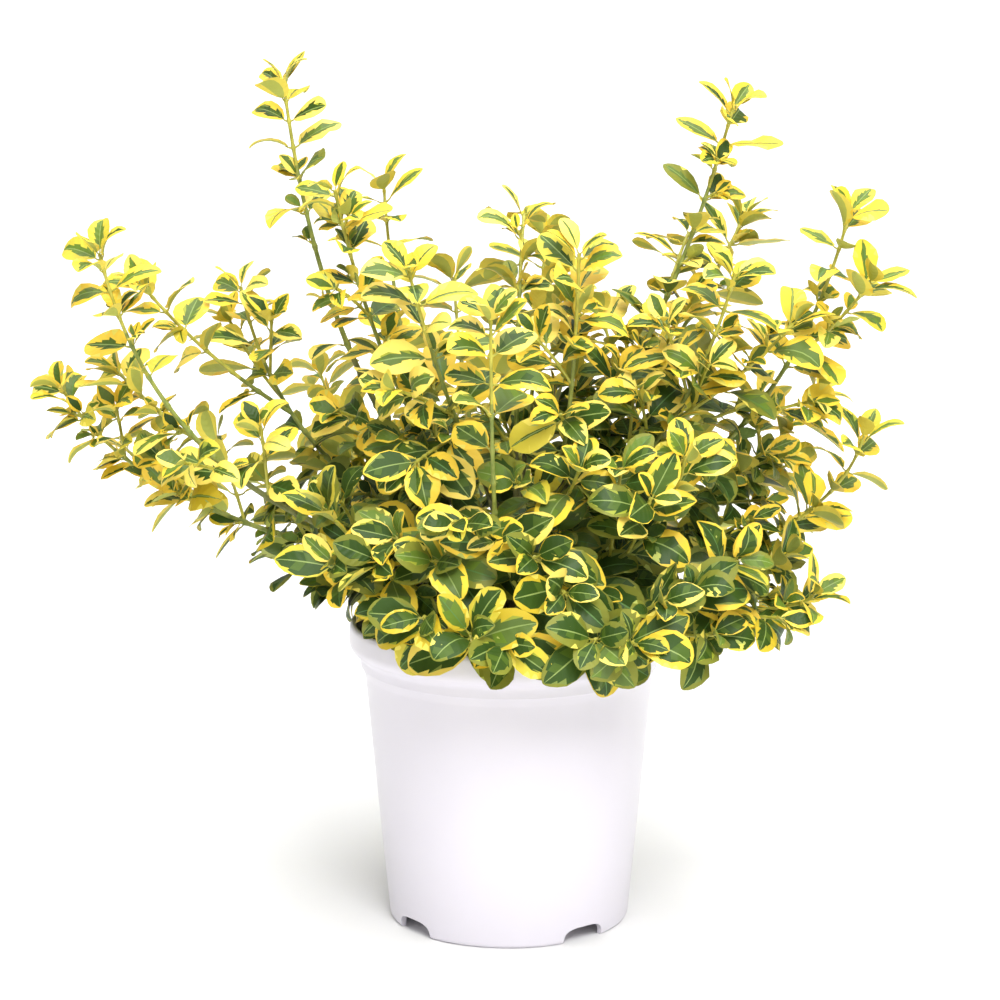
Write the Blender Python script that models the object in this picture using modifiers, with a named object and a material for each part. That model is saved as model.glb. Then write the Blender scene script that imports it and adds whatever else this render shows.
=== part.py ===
"""Wintercreeper euonymus in a round nursery pot, as separate solids.

Metres, +Z up, seen from the front along +Y. The origin is the centre of the pot's flat underside.
A short woody stem stands in the potting mix. Boughs leave it in the order of their slope, and each
bough ends where its leafy mass begins. Every shoot follows one curve, from its seat on the stem to
its tip, and its leaves stand in pairs at nodes that are counted back from the tip.
"""

import math
from collections import namedtuple

import bmesh
import bpy
import numpy as np
from mathutils import Matrix

# Pot
POT_HEIGHT = 0.157
LIP_RADIUS = 0.0826
LIP_EDGE_INSET = 0.0021
LIP_EDGE_RADII = (0.0018, 0.0035)
LIP_BULGE_HEIGHT = 0.148
LIP_BULGE_RADII = (0.0050, 0.0065)
LIP_INNER_INSET = 0.0034
LIP_INNER_DROP = 0.0008
SKIRT_RADIUS = 0.0766
SKIRT_FLARE = 0.0002
SKIRT_TOP = 0.1385
SKIRT_BOTTOM = 0.1342
BODY_TOP_RADIUS = 0.0742
BODY_TOP = 0.1290
FOOT_RADIUS = 0.0624
FOOT_CORNER = 0.0025
FOOT_RING_WIDTH = 0.0008
WALL = 0.0012
FLOOR_THICKNESS = 0.0014
GROOVE_HEIGHT = 0.0085
GROOVE_INNER_RADIUS = 0.0455
GROOVE_SLOPE = 0.0020
NOTCH_HALF_WIDTH = 0.0125
NOTCH_HEIGHT = 0.0080
NOTCH_DEPTH = 0.014
NOTCH_AZIMUTH = math.radians(-52)
NOTCH_COUNT = 4
DRAIN_RADIUS = 0.0028
DRAIN_RING_RADIUS = 0.0535
DRAIN_DEPTH = 0.010
DRAIN_COUNT = 4
POT_STEPS = 30
CUTTER_SIDES = 14
MERGE_DISTANCE = 0.00001

# Potting mix
SOIL_CROWN = 0.1465
SOIL_EDGE = 0.1425
SOIL_SHOULDER = 0.1435
SOIL_FLAT_RADIUS = 0.012
SOIL_SHOULDER_RADIUS = 0.060

# Woody stem
STEM_FLARE_RADIUS = 0.0085
STEM_RADIUS = 0.0052
STEM_TOP_RADIUS = 0.0038
STEM_HEIGHT = 0.066
STEM_LEAN = (0.0030, -0.0020)
FLARE_HEIGHT = 0.009
STEM_RINGS = (0.0, 0.002, 0.005, 0.010, 0.022, 0.044, 0.066)
SEAT_LOW = 0.0135
SEAT_HIGH = 0.0635

# Boughs and twigs
GAP = 0.0003
BOUGH_SHARE = 0.27
TIP_RADIUS = 0.0007
RADIUS_GROWTH = 0.0044
BOUGH_SIDES_RESOLUTION = 1
BOUGH_POINTS = 5
STEM_POINT_SPACING = 0.023
CURVE_POINTS = 49
LINE_STRIDE = 3
TANGENT_STEP = 0.002
SEAT_DEPTH = 0.12
BARE_PAST_BOUGH = 0.004
BARE_SHOOT = 0.024
BARE_BRANCH = 0.010
BARE_TWIG = 0.008
BRANCH_SWEEP = 0.08

# Nodes: distances along a shoot, and the angle of each leaf pair round it
FIRST_INTERNODE = 0.010
INTERNODE_GROWTH = 1.8
LONGEST_INTERNODE = 0.0365
LEVEL_RISE = 0.55
LEVEL_PAIR_ANGLES = (-0.35, 0.45)
LEVEL_PAIR_CHANCE = 0.25
FIRST_PAIR_ANGLE = 0.6
PAIR_CHANCE = 0.35

# Leaves
LEAF_LENGTH = 0.0440
TIP_LEAF_SHARE = 0.46
SIZE_SETTLING = 1.2
SIZE_CHANCE = 0.13
OPENING_AT_TIP = 38
OPENING_STEP = 14
OPENING_MOST = 68
OPENING_CHANCE = 9
LEAF_LEVELLING = 0.75
LEAF_LIFT = 0.05
LEAF_DROOP = 0.35
PITCH_CHANCE = 0.20
LIGHT_ALONG = 0.40
LIGHT_OUTWARD = 0.55
LIGHT_ABOVE = 0.70
LIGHT_CHANCE = 0.40
OUTWARD_SOFTENING = 0.02
LEAF_WIDTH_SHARE = 0.68
LEAF_THICKNESS = 0.0009
LEAF_ROOT_START = 0.0001

# Room that each leaf and twig keeps
OUTLINE_LENGTHS = (0.06, 1.0, 9)
OUTLINE_WIDTHS = (0.0, 0.22, 0.45, 0.72, 1.0, 0.72, 0.45, 0.22, 0.0)
LEAF_CLEARANCE = 0.0008
SPACE_OVERLAP = 0.012
ROOT_FREE_SHARE = 0.12
STEM_CLEARANCE = 0.0027
WOOD_CLEARANCE = 0.0095
POT_MARGIN = 0.0012
INSIDE_RADIUS = 0.068
LEAF_REACH = 0.050
TWIG_ROOT_FREE = 0.004

# Side twigs
TWIG_FIRST_NODE = 3
TWIG_LENGTH = 0.026
TWIG_GROWTH = 0.0045
TWIG_LENGTH_MOST = 0.052
TWIG_CHANCE = 0.25
TWIG_LEAF_SCALE = 0.82
TWIG_ALONG = 0.62
TWIG_OUTWARD = 0.75
TWIG_UPWARD = 0.25
TWIG_KEY = 90
SEED = 61

# Colour and roughness of each finish
POT_WHITE = ((0.88, 0.87, 0.90), 0.30)
BARK_MIX = ((0.16, 0.10, 0.055), 0.95)
BARK = ((0.20, 0.17, 0.08), 0.80)
YOUNG_BARK = ((0.26, 0.29, 0.08), 0.65)
VARIEGATED_LEAF = ((0.62, 0.58, 0.06), 0.45)

Shoot = namedtuple("Shoot", "name tip sweep bough branches", defaults=(True, ()))
Branch = namedtuple("Branch", "leaves_at tip")
Axis = namedtuple("Axis", "points spacing length")
Twig = namedtuple("Twig", "key axis bare scale")
Leaf = namedtuple("Leaf", "root along normal length")

# Each shoot's tip is its furthest reach. A sweep above zero starts level and turns up, and one
# below zero starts steep and arches over. A branch leaves its shoot at a share of the length.
SHOOTS = (
    Shoot("left_low", (-0.229, 0.010, 0.276), 0.30, True, (Branch(0.62, (-0.167, -0.015, 0.226)),)),
    Shoot("left_outer", (-0.202, -0.035, 0.350), 0.35, True, (Branch(0.62, (-0.198, -0.005, 0.287)),)),
    Shoot(
        "left_mid",
        (-0.140, 0.050, 0.323),
        0.33,
        True,
        (
            Branch(0.66, (-0.188, 0.020, 0.328)),
            Branch(0.70, (-0.148, 0.070, 0.303)),
            Branch(0.38, (-0.114, 0.020, 0.216)),
        ),
    ),
    Shoot("left_tall", (-0.114, 0.020, 0.430), 0.30),
    Shoot("left_inner", (-0.086, -0.030, 0.381), 0.20),
    Shoot("left_back", (-0.066, 0.080, 0.373), 0.35),
    Shoot("left_centre", (-0.049, -0.060, 0.345), 0.10, True, (Branch(0.40, (-0.046, -0.070, 0.252)),)),
    Shoot("centre_left", (0.008, 0.060, 0.360), -0.30),
    Shoot("centre_back", (0.020, 0.100, 0.345), 0.10),
    Shoot("centre", (0.034, -0.050, 0.352), 0.40, True, (Branch(0.50, (0.025, -0.065, 0.275)),)),
    Shoot("centre_front", (-0.009, -0.110, 0.329), 0.45),
    Shoot("right_tall", (0.114, 0.030, 0.417), 0.15),
    Shoot("right_inner", (0.126, 0.090, 0.357), 0.10),
    Shoot("right_mid", (0.111, -0.040, 0.341), 0.25, True, (Branch(0.55, (0.141, -0.030, 0.315)),)),
    Shoot("right_outer", (0.170, -0.010, 0.368), 0.30, True, (Branch(0.68, (0.180, -0.020, 0.334)),)),
    Shoot("right_low", (0.184, 0.030, 0.246), 0.40, True, (Branch(0.60, (0.156, 0.005, 0.214)),)),
    Shoot("right_side", (0.165, 0.075, 0.264), 0.25, True, (Branch(0.55, (0.148, 0.080, 0.222)),)),
    Shoot(
        "right_droop",
        (0.152, -0.045, 0.180),
        0.45,
        True,
        (Branch(0.62, (0.134, -0.060, 0.172)), Branch(0.55, (0.139, -0.028, 0.197))),
    ),
    Shoot("back_left", (-0.105, 0.150, 0.262), 0.25),
    Shoot("back_middle", (-0.010, 0.185, 0.255), 0.33),
    Shoot("back_right", (0.085, 0.160, 0.270), 0.25),
    Shoot("back_upper", (-0.030, 0.130, 0.318), 0.28),
    Shoot(
        "front_right",
        (0.059, -0.115, 0.173),
        0.30,
        False,
        (Branch(0.55, (0.041, -0.121, 0.176)), Branch(0.50, (0.073, -0.102, 0.190))),
    ),
    Shoot(
        "front_left",
        (-0.019, -0.118, 0.178),
        0.45,
        False,
        (Branch(0.50, (-0.041, -0.108, 0.184)), Branch(0.62, (-0.002, -0.121, 0.174))),
    ),
    Shoot(
        "front_middle",
        (0.012, -0.102, 0.212),
        0.10,
        False,
        (Branch(0.45, (-0.006, -0.098, 0.219)), Branch(0.45, (0.026, -0.112, 0.197))),
    ),
    Shoot("front_left_upper", (-0.036, -0.093, 0.208), 0.10, False, (Branch(0.45, (-0.054, -0.078, 0.216)),)),
    Shoot(
        "front_right_upper",
        (0.085, -0.085, 0.257),
        0.35,
        False,
        (Branch(0.55, (0.068, -0.093, 0.239)), Branch(0.45, (0.054, -0.078, 0.250))),
    ),
    Shoot(
        "left_lower",
        (-0.086, -0.068, 0.201),
        0.30,
        False,
        (Branch(0.50, (-0.064, -0.086, 0.207)), Branch(0.45, (-0.091, -0.056, 0.226))),
    ),
    Shoot(
        "right_front",
        (0.099, -0.076, 0.168),
        0.45,
        False,
        (Branch(0.50, (0.088, -0.086, 0.192)), Branch(0.50, (0.111, -0.068, 0.203))),
    ),
    Shoot("left_rim", (-0.117, 0.028, 0.186), 0.30, False),
    Shoot("back_left_rim", (-0.085, 0.105, 0.190), 0.35, False),
    Shoot("back_rim", (0.020, 0.135, 0.185), 0.35, False),
    Shoot("back_right_rim", (0.100, 0.098, 0.190), 0.35, False),
    Shoot("inner_front", (0.034, -0.086, 0.252), 0.15, False, (Branch(0.60, (0.044, -0.066, 0.238)),)),
)


def clear_scene():
    """Remove every object, so that the file holds only this plant."""
    for obj in list(bpy.data.objects):
        bpy.data.objects.remove(obj, do_unlink=True)


def new_collection(name):
    """A collection linked to the scene."""
    collection = bpy.data.collections.new(name)
    bpy.context.scene.collection.children.link(collection)
    return collection


def material(name, colour, roughness):
    """A plain Principled BSDF."""
    made = bpy.data.materials.new(name)
    made.use_nodes = True
    shader = made.node_tree.nodes["Principled BSDF"]
    shader.inputs["Base Color"].default_value = (*colour, 1.0)
    shader.inputs["Roughness"].default_value = roughness
    shader.inputs["Metallic"].default_value = 0.0
    return made


def arc(centre, radii, start, end, count):
    """Points of an elliptic arc in a profile, from one angle in degrees to another."""
    angles = np.radians(np.linspace(start, end, count))
    return [(centre[0] + radii[0] * math.cos(a), centre[1] + radii[1] * math.sin(a)) for a in angles]


def turned(name, profile, collection, finish):
    """A profile of (radius, height) points turned about Z by a Screw modifier."""
    mesh = bpy.data.meshes.new(name)
    edges = [(i, i + 1) for i in range(len(profile) - 1)]
    mesh.from_pydata([(r, 0.0, z) for r, z in profile], edges, [])
    obj = bpy.data.objects.new(name, mesh)
    collection.objects.link(obj)
    screw = obj.modifiers.new("turn", "SCREW")
    screw.steps = POT_STEPS
    screw.render_steps = POT_STEPS
    screw.use_merge_vertices = True
    screw.merge_threshold = MERGE_DISTANCE
    screw.use_smooth_shade = True
    mesh.materials.append(finish)
    return obj


def hide_cutter(obj, cutters):
    """Keep a cutter out of the render and show it as wire."""
    for collection in obj.users_collection:
        collection.objects.unlink(obj)
    cutters.objects.link(obj)
    obj.hide_render = True
    obj.display_type = "WIRE"


def cylinder_cutter(name, cutters, radius, depth, matrix, scale=(1.0, 1.0)):
    """A cylinder whose cross-section may be stretched along its own X and Y."""
    mesh = bpy.data.meshes.new(name)
    bm = bmesh.new()
    bmesh.ops.create_cone(
        bm,
        cap_ends=True,
        segments=CUTTER_SIDES,
        radius1=radius,
        radius2=radius,
        depth=depth,
        matrix=matrix @ Matrix.Diagonal((scale[0], scale[1], 1.0, 1.0)),
    )
    bm.to_mesh(mesh)
    bm.free()
    obj = bpy.data.objects.new(name, mesh)
    bpy.context.scene.collection.objects.link(obj)
    hide_cutter(obj, cutters)
    return obj


def outer_wall():
    """The pot's outer side from the lip down to the foot."""
    edge_centre = (LIP_RADIUS - LIP_EDGE_INSET, POT_HEIGHT - LIP_EDGE_RADII[1])
    lip_top = arc(edge_centre, LIP_EDGE_RADII, 90, 0, 3)
    bulge_centre = (LIP_RADIUS - LIP_BULGE_RADII[0], LIP_BULGE_HEIGHT)
    bulge = arc(bulge_centre, LIP_BULGE_RADII, 0, -75, 3)
    skirt = [(SKIRT_RADIUS + SKIRT_FLARE, SKIRT_TOP), (SKIRT_RADIUS, SKIRT_BOTTOM)]
    shoulder = [(BODY_TOP_RADIUS, BODY_TOP)]
    foot = arc((FOOT_RADIUS - FOOT_CORNER, FOOT_CORNER), (FOOT_CORNER, FOOT_CORNER), 0, -90, 3)
    return lip_top + bulge + skirt + shoulder + foot


def inner_wall(lowest, clearance=0.0):
    """The pot's inner side from its lowest height up to the lip, a wall's thickness in."""
    inset = WALL + clearance
    slope = (BODY_TOP_RADIUS - FOOT_RADIUS) / (BODY_TOP - FOOT_CORNER)
    low_radius = BODY_TOP_RADIUS - slope * (BODY_TOP - lowest)
    outer = [
        (low_radius, lowest),
        (BODY_TOP_RADIUS, BODY_TOP),
        (SKIRT_RADIUS, SKIRT_TOP),
        (LIP_RADIUS, LIP_BULGE_HEIGHT),
    ]
    return [(radius - inset, height) for radius, height in outer]


def make_pot(collection, cutters, finish):
    """The pot: a thin wall, a floor that stands on the ground inside a raised groove, and notches."""
    groove_top = GROOVE_HEIGHT + WALL
    ring_inner = FOOT_RADIUS - FOOT_CORNER - FOOT_RING_WIDTH
    floor = [(0.0, FLOOR_THICKNESS), (GROOVE_INNER_RADIUS - WALL, FLOOR_THICKNESS)]
    groove = [(GROOVE_INNER_RADIUS - WALL + GROOVE_SLOPE, groove_top)]
    rim = [(LIP_RADIUS - LIP_INNER_INSET, POT_HEIGHT - LIP_INNER_DROP)]
    under = [
        (ring_inner, 0.0),
        (ring_inner, GROOVE_HEIGHT),
        (GROOVE_INNER_RADIUS + GROOVE_SLOPE, GROOVE_HEIGHT),
        (GROOVE_INNER_RADIUS, 0.0),
        (0.0, 0.0),
    ]
    profile = floor + groove + inner_wall(groove_top) + rim + outer_wall() + under
    pot = turned("pot", profile, collection, finish)
    for i in range(NOTCH_COUNT):
        azimuth = NOTCH_AZIMUTH + i * math.tau / NOTCH_COUNT - math.pi / 2
        place = Matrix.Rotation(azimuth, 4, "Z") @ Matrix.Translation((FOOT_RADIUS, 0.0, 0.0))
        lay = Matrix.Rotation(math.pi / 2, 4, "Y")
        shape = (NOTCH_HEIGHT, NOTCH_HALF_WIDTH)
        notch = cylinder_cutter(f"notch_cutter_{i + 1}", cutters, 1.0, NOTCH_DEPTH, place @ lay, shape)
        cut = pot.modifiers.new(f"notch {i + 1}", "BOOLEAN")
        cut.operation = "DIFFERENCE"
        cut.object = notch
    for i in range(DRAIN_COUNT):
        azimuth = (i + 0.5) * math.tau / DRAIN_COUNT
        place = Matrix.Rotation(azimuth, 4, "Z") @ Matrix.Translation((DRAIN_RING_RADIUS, 0.0, groove_top))
        drain = cylinder_cutter(f"drain_cutter_{i + 1}", cutters, DRAIN_RADIUS, DRAIN_DEPTH, place)
        cut = pot.modifiers.new(f"drain {i + 1}", "BOOLEAN")
        cut.operation = "DIFFERENCE"
        cut.object = drain
    return pot


def make_soil(collection, finish):
    """The potting mix: it fills the pot to below the rim, over the groove in the floor."""
    floor = FLOOR_THICKNESS + GAP
    groove_top = GROOVE_HEIGHT + WALL + GAP
    core_radius = GROOVE_INNER_RADIUS - WALL - 2 * GAP
    top = [(0.0, SOIL_CROWN), (SOIL_FLAT_RADIUS, SOIL_CROWN), (SOIL_SHOULDER_RADIUS, SOIL_SHOULDER)]
    side = [point for point in inner_wall(groove_top, 2 * GAP)[::-1] if point[1] < SOIL_EDGE]
    edge = [(side[0][0], SOIL_EDGE)]
    bottom = [(core_radius, groove_top), (core_radius, floor), (0.0, floor)]
    return turned("potting_mix", top + edge + side + bottom, collection, finish)


def stem_radius(height):
    """Radius of the woody stem at a height above the potting mix: a flare, then an even taper."""
    flare = (STEM_FLARE_RADIUS - STEM_RADIUS) * np.exp(-3.0 * np.asarray(height) / FLARE_HEIGHT)
    return STEM_RADIUS + (STEM_TOP_RADIUS - STEM_RADIUS) * np.asarray(height) / STEM_HEIGHT + flare


def stem_centre(height):
    """Centre of the woody stem at a height above the potting mix; it leans a little as it rises."""
    share = (height / STEM_HEIGHT) ** 2
    return np.array([STEM_LEAN[0] * share, STEM_LEAN[1] * share, SOIL_CROWN + GAP + height])


def bezier(start, pull, end, count):
    """Points of a quadratic curve, as an array of rows."""
    t = np.linspace(0.0, 1.0, count)[:, None]
    return (1 - t) ** 2 * start + 2 * t * (1 - t) * pull + t**2 * end


def swept(start, end, sweep):
    """A shoot's curve from its start to its tip, with the distance along it at each point."""
    share = np.array([0.5 + sweep, 0.5 + sweep, 0.5 - sweep])
    points = bezier(start, start + share * (end - start), end, CURVE_POINTS)
    steps = np.linalg.norm(np.diff(points, axis=0), axis=1)
    spacing = np.concatenate([[0.0], np.cumsum(steps)])
    return Axis(points, spacing, spacing[-1])


def at(axis, distance):
    """The point, or points, at a distance along an axis."""
    columns = [np.interp(distance, axis.spacing, axis.points[:, i]) for i in range(3)]
    return np.stack(columns, axis=-1)


def tangent(axis, distance):
    """Unit direction of growth at a distance along an axis."""
    ahead = at(axis, min(distance + TANGENT_STEP, axis.length))
    behind = at(axis, max(distance - TANGENT_STEP, 0.0))
    return (ahead - behind) / np.linalg.norm(ahead - behind)


def twig_radius(to_tip):
    """Radius of a stem by the distance still to go to its tip."""
    return TIP_RADIUS + RADIUS_GROWTH * to_tip


def main_axes():
    """Every shoot's curve, seated on the woody stem in the order of its slope."""
    fork = stem_centre(0.5 * (SEAT_LOW + SEAT_HIGH))
    slopes = []
    for shoot in SHOOTS:
        rise = np.array(shoot.tip) - fork
        level = np.hypot(rise[0], rise[1]) * (0.5 + shoot.sweep)
        slopes.append(math.atan2(rise[2] * (0.5 - shoot.sweep), level))
    order = np.argsort(slopes, kind="stable")
    axes = [None] * len(SHOOTS)
    for rank, index in enumerate(order):
        height = SEAT_LOW + (SEAT_HIGH - SEAT_LOW) * rank / (len(SHOOTS) - 1)
        tip = np.array(SHOOTS[index].tip)
        centre = stem_centre(height)
        outward = (tip - centre) * (1, 1, 0)
        outward /= np.linalg.norm(outward)
        thickness = twig_radius(np.linalg.norm(tip - centre))
        lean = max(math.sin(slopes[index]), 0.0)
        start = centre + outward * (stem_radius(height) + GAP + thickness * (SEAT_DEPTH + lean))
        axes[index] = swept(start, tip, SHOOTS[index].sweep)
    return axes


def branch_axes(shoot, main):
    """The curves of a shoot's long branches."""
    return [swept(at(main, b.leaves_at * main.length), np.array(b.tip), BRANCH_SWEEP) for b in shoot.branches]


def node_distances(length):
    """Distances back from the tip at which the leaf pairs stand: short steps at the tip, then even."""
    distances = [0.0]
    step = FIRST_INTERNODE
    while distances[-1] + step < length:
        distances.append(distances[-1] + step)
        step = min(step * INTERNODE_GROWTH, LONGEST_INTERNODE)
    return distances


def across(direction):
    """Two unit vectors square to a direction, the first of them level."""
    side = np.cross(direction, (0.0, 0.0, 1.0))
    if np.linalg.norm(side) < 0.05:
        side = np.array([1.0, 0.0, 0.0])
    side /= np.linalg.norm(side)
    return side, np.cross(side, direction)


def draw(*key):
    """Six seeded numbers from -1 to 1 that belong to one leaf or twig."""
    return np.random.default_rng([SEED, *key]).uniform(-1.0, 1.0, 6)


def pair_angle(growth, index, chance):
    """Angle of a leaf pair round its stem: each pair is square to the last, or level on a level stem."""
    if abs(growth[2]) < LEVEL_RISE:
        return LEVEL_PAIR_ANGLES[index % 2] + LEVEL_PAIR_CHANCE * chance
    return index * math.pi / 2 + FIRST_PAIR_ANGLE + PAIR_CHANCE * chance


def leaf_at(root, growth, angle, index, scale, jitter):
    """One leaf: it leaves the stem at the node's angle and turns its face outward and to the light."""
    level, upper = across(growth)
    outward = math.cos(angle) * level + math.sin(angle) * upper
    opening = min(OPENING_AT_TIP + OPENING_STEP * index, OPENING_MOST) + OPENING_CHANCE * jitter[0]
    opening = math.radians(opening)
    along = math.cos(opening) * growth + math.sin(opening) * outward
    droop = LEAF_DROOP * (1.0 - growth[2]) ** 2
    along[2] = LEAF_LEVELLING * along[2] + LEAF_LIFT - droop + PITCH_CHANCE * jitter[1]
    along /= np.linalg.norm(along)
    away = root * (1.0, 1.0, 0.0) / (np.hypot(root[0], root[1]) + OUTWARD_SOFTENING)
    sky = np.array([LIGHT_CHANCE * jitter[2], LIGHT_CHANCE * jitter[3], LIGHT_ABOVE])
    light = LIGHT_ALONG * growth + LIGHT_OUTWARD * away + sky
    normal = light - along * (light @ along)
    normal /= np.linalg.norm(normal)
    share = 1.0 - (1.0 - TIP_LEAF_SHARE) * math.exp(-index / SIZE_SETTLING)
    length = LEAF_LENGTH * share * scale * (1.0 + SIZE_CHANCE * jitter[4])
    return Leaf(root, along, normal, length)


def leaves_on(twig):
    """The leaf pairs of one twig with their node numbers, from its tip back to its bare part."""
    axis, pairs = twig.axis, []
    for index, back in enumerate(node_distances(axis.length - twig.bare)):
        distance = axis.length - back
        growth = tangent(axis, distance)
        angle = pair_angle(growth, index, draw(*twig.key, index)[0])
        for side in (0, 1):
            jitter = draw(*twig.key, index, side)
            turn = angle + side * math.pi
            pairs.append((index, leaf_at(at(axis, distance), growth, turn, index, twig.scale, jitter)))
    return pairs


def side_twigs(twig):
    """Short side shoots in the leaf axils of the lower nodes, on alternate sides."""
    axis, made = twig.axis, []
    for index, back in enumerate(node_distances(axis.length - twig.bare)):
        if index < TWIG_FIRST_NODE or index % 2 == 0:
            continue
        distance = axis.length - back
        growth = tangent(axis, distance)
        chance = draw(*twig.key, TWIG_KEY, index)
        level, upper = across(growth)
        angle = pair_angle(growth, index, chance[0]) + math.pi * (index // 2 % 2)
        outward = math.cos(angle) * level + math.sin(angle) * upper
        along = TWIG_ALONG * growth + TWIG_OUTWARD * outward + np.array([0.0, 0.0, TWIG_UPWARD])
        along /= np.linalg.norm(along)
        length = min(TWIG_LENGTH + TWIG_GROWTH * (index - TWIG_FIRST_NODE), TWIG_LENGTH_MOST)
        length *= 1.0 + TWIG_CHANCE * chance[1]
        root = at(axis, distance)
        grown = swept(root, root + length * along, -BRANCH_SWEEP)
        made.append(Twig((*twig.key, index), grown, BARE_TWIG, TWIG_LEAF_SCALE))
    return made


def distance_to(points, lines):
    """Distance of each point from the nearest of some polylines."""
    nearest = np.full(len(points), np.inf)
    for line in lines:
        start, step = line[:-1], np.diff(line, axis=0)
        offset = points[:, None, :] - start[None]
        share = np.clip((offset * step).sum(-1) / (step * step).sum(-1), 0.0, 1.0)
        gap = np.linalg.norm(offset - share[..., None] * step, axis=-1)
        nearest = np.minimum(nearest, gap.min(axis=1))
    return nearest


def outline(leaf):
    """Points along a leaf's edge and both faces, for testing the space that it takes."""
    side = np.cross(leaf.normal, leaf.along)
    half = 0.5 * LEAF_WIDTH_SHARE * leaf.length
    centre = leaf.root + leaf.length * np.linspace(*OUTLINE_LENGTHS)[:, None] * leaf.along
    reach = half * np.array(OUTLINE_WIDTHS)[:, None] * side
    return np.concatenate([centre + reach, centre - reach, centre])


def clear_of_pot(points):
    """Whether points stay above the potting mix and off the pot's wall and lip."""
    radius = np.hypot(points[:, 0], points[:, 1])
    over_lip = points[:, 2] > POT_HEIGHT + POT_MARGIN
    inside = (radius < INSIDE_RADIUS) & (points[:, 2] > SOIL_CROWN + POT_MARGIN)
    outside = radius > LIP_RADIUS + POT_MARGIN
    return bool(np.all(over_lip | inside | outside))


def corners_of(leaf):
    """Root side, left, tip and right corners of a leaf, from just outside its stem."""
    side = np.cross(leaf.normal, leaf.along) * 0.5 * LEAF_WIDTH_SHARE * leaf.length
    middle = leaf.root + 0.5 * leaf.length * leaf.along
    near = leaf.root + ROOT_FREE_SHARE * leaf.length * leaf.along
    return np.array([near, middle + side, leaf.root + leaf.length * leaf.along, middle - side])


def pierced(leaf, start, end):
    """Whether any of some segments passes through a leaf."""
    corners = corners_of(leaf)
    before = (start - corners[0]) @ leaf.normal
    after = (end - corners[0]) @ leaf.normal
    crossing = before * after < 0.0
    if not crossing.any():
        return False
    share = before[crossing] / (before[crossing] - after[crossing])
    hit = start[crossing] + share[:, None] * (end[crossing] - start[crossing])
    inside = np.ones(len(hit), bool)
    for i in range(4):
        edge = corners[(i + 1) % 4] - corners[i]
        inside &= np.cross(leaf.normal, edge) @ (hit - corners[i]).T > -LEAF_THICKNESS * np.linalg.norm(edge)
    return bool(inside.any())


def crosses(leaf, other):
    """Whether two leaves pass through each other."""
    mine, theirs = corners_of(leaf), corners_of(other)
    return pierced(leaf, theirs, np.roll(theirs, -1, axis=0)) or pierced(other, mine, np.roll(mine, -1, axis=0))


def near_blade(points, leaf):
    """Whether any point comes within the clearance of a leaf's blade."""
    offset = points - leaf.root
    half_length = 0.5 * leaf.length
    half_width = LEAF_WIDTH_SHARE * half_length
    lengthwise = np.abs(offset @ leaf.along - half_length) / (half_length + LEAF_CLEARANCE)
    crosswise = np.abs(offset @ np.cross(leaf.normal, leaf.along)) / (half_width + LEAF_CLEARANCE)
    depth = np.abs(offset @ leaf.normal)
    return bool(np.any((lengthwise + crosswise < 1.0) & (depth < LEAF_THICKNESS + LEAF_CLEARANCE)))


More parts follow.
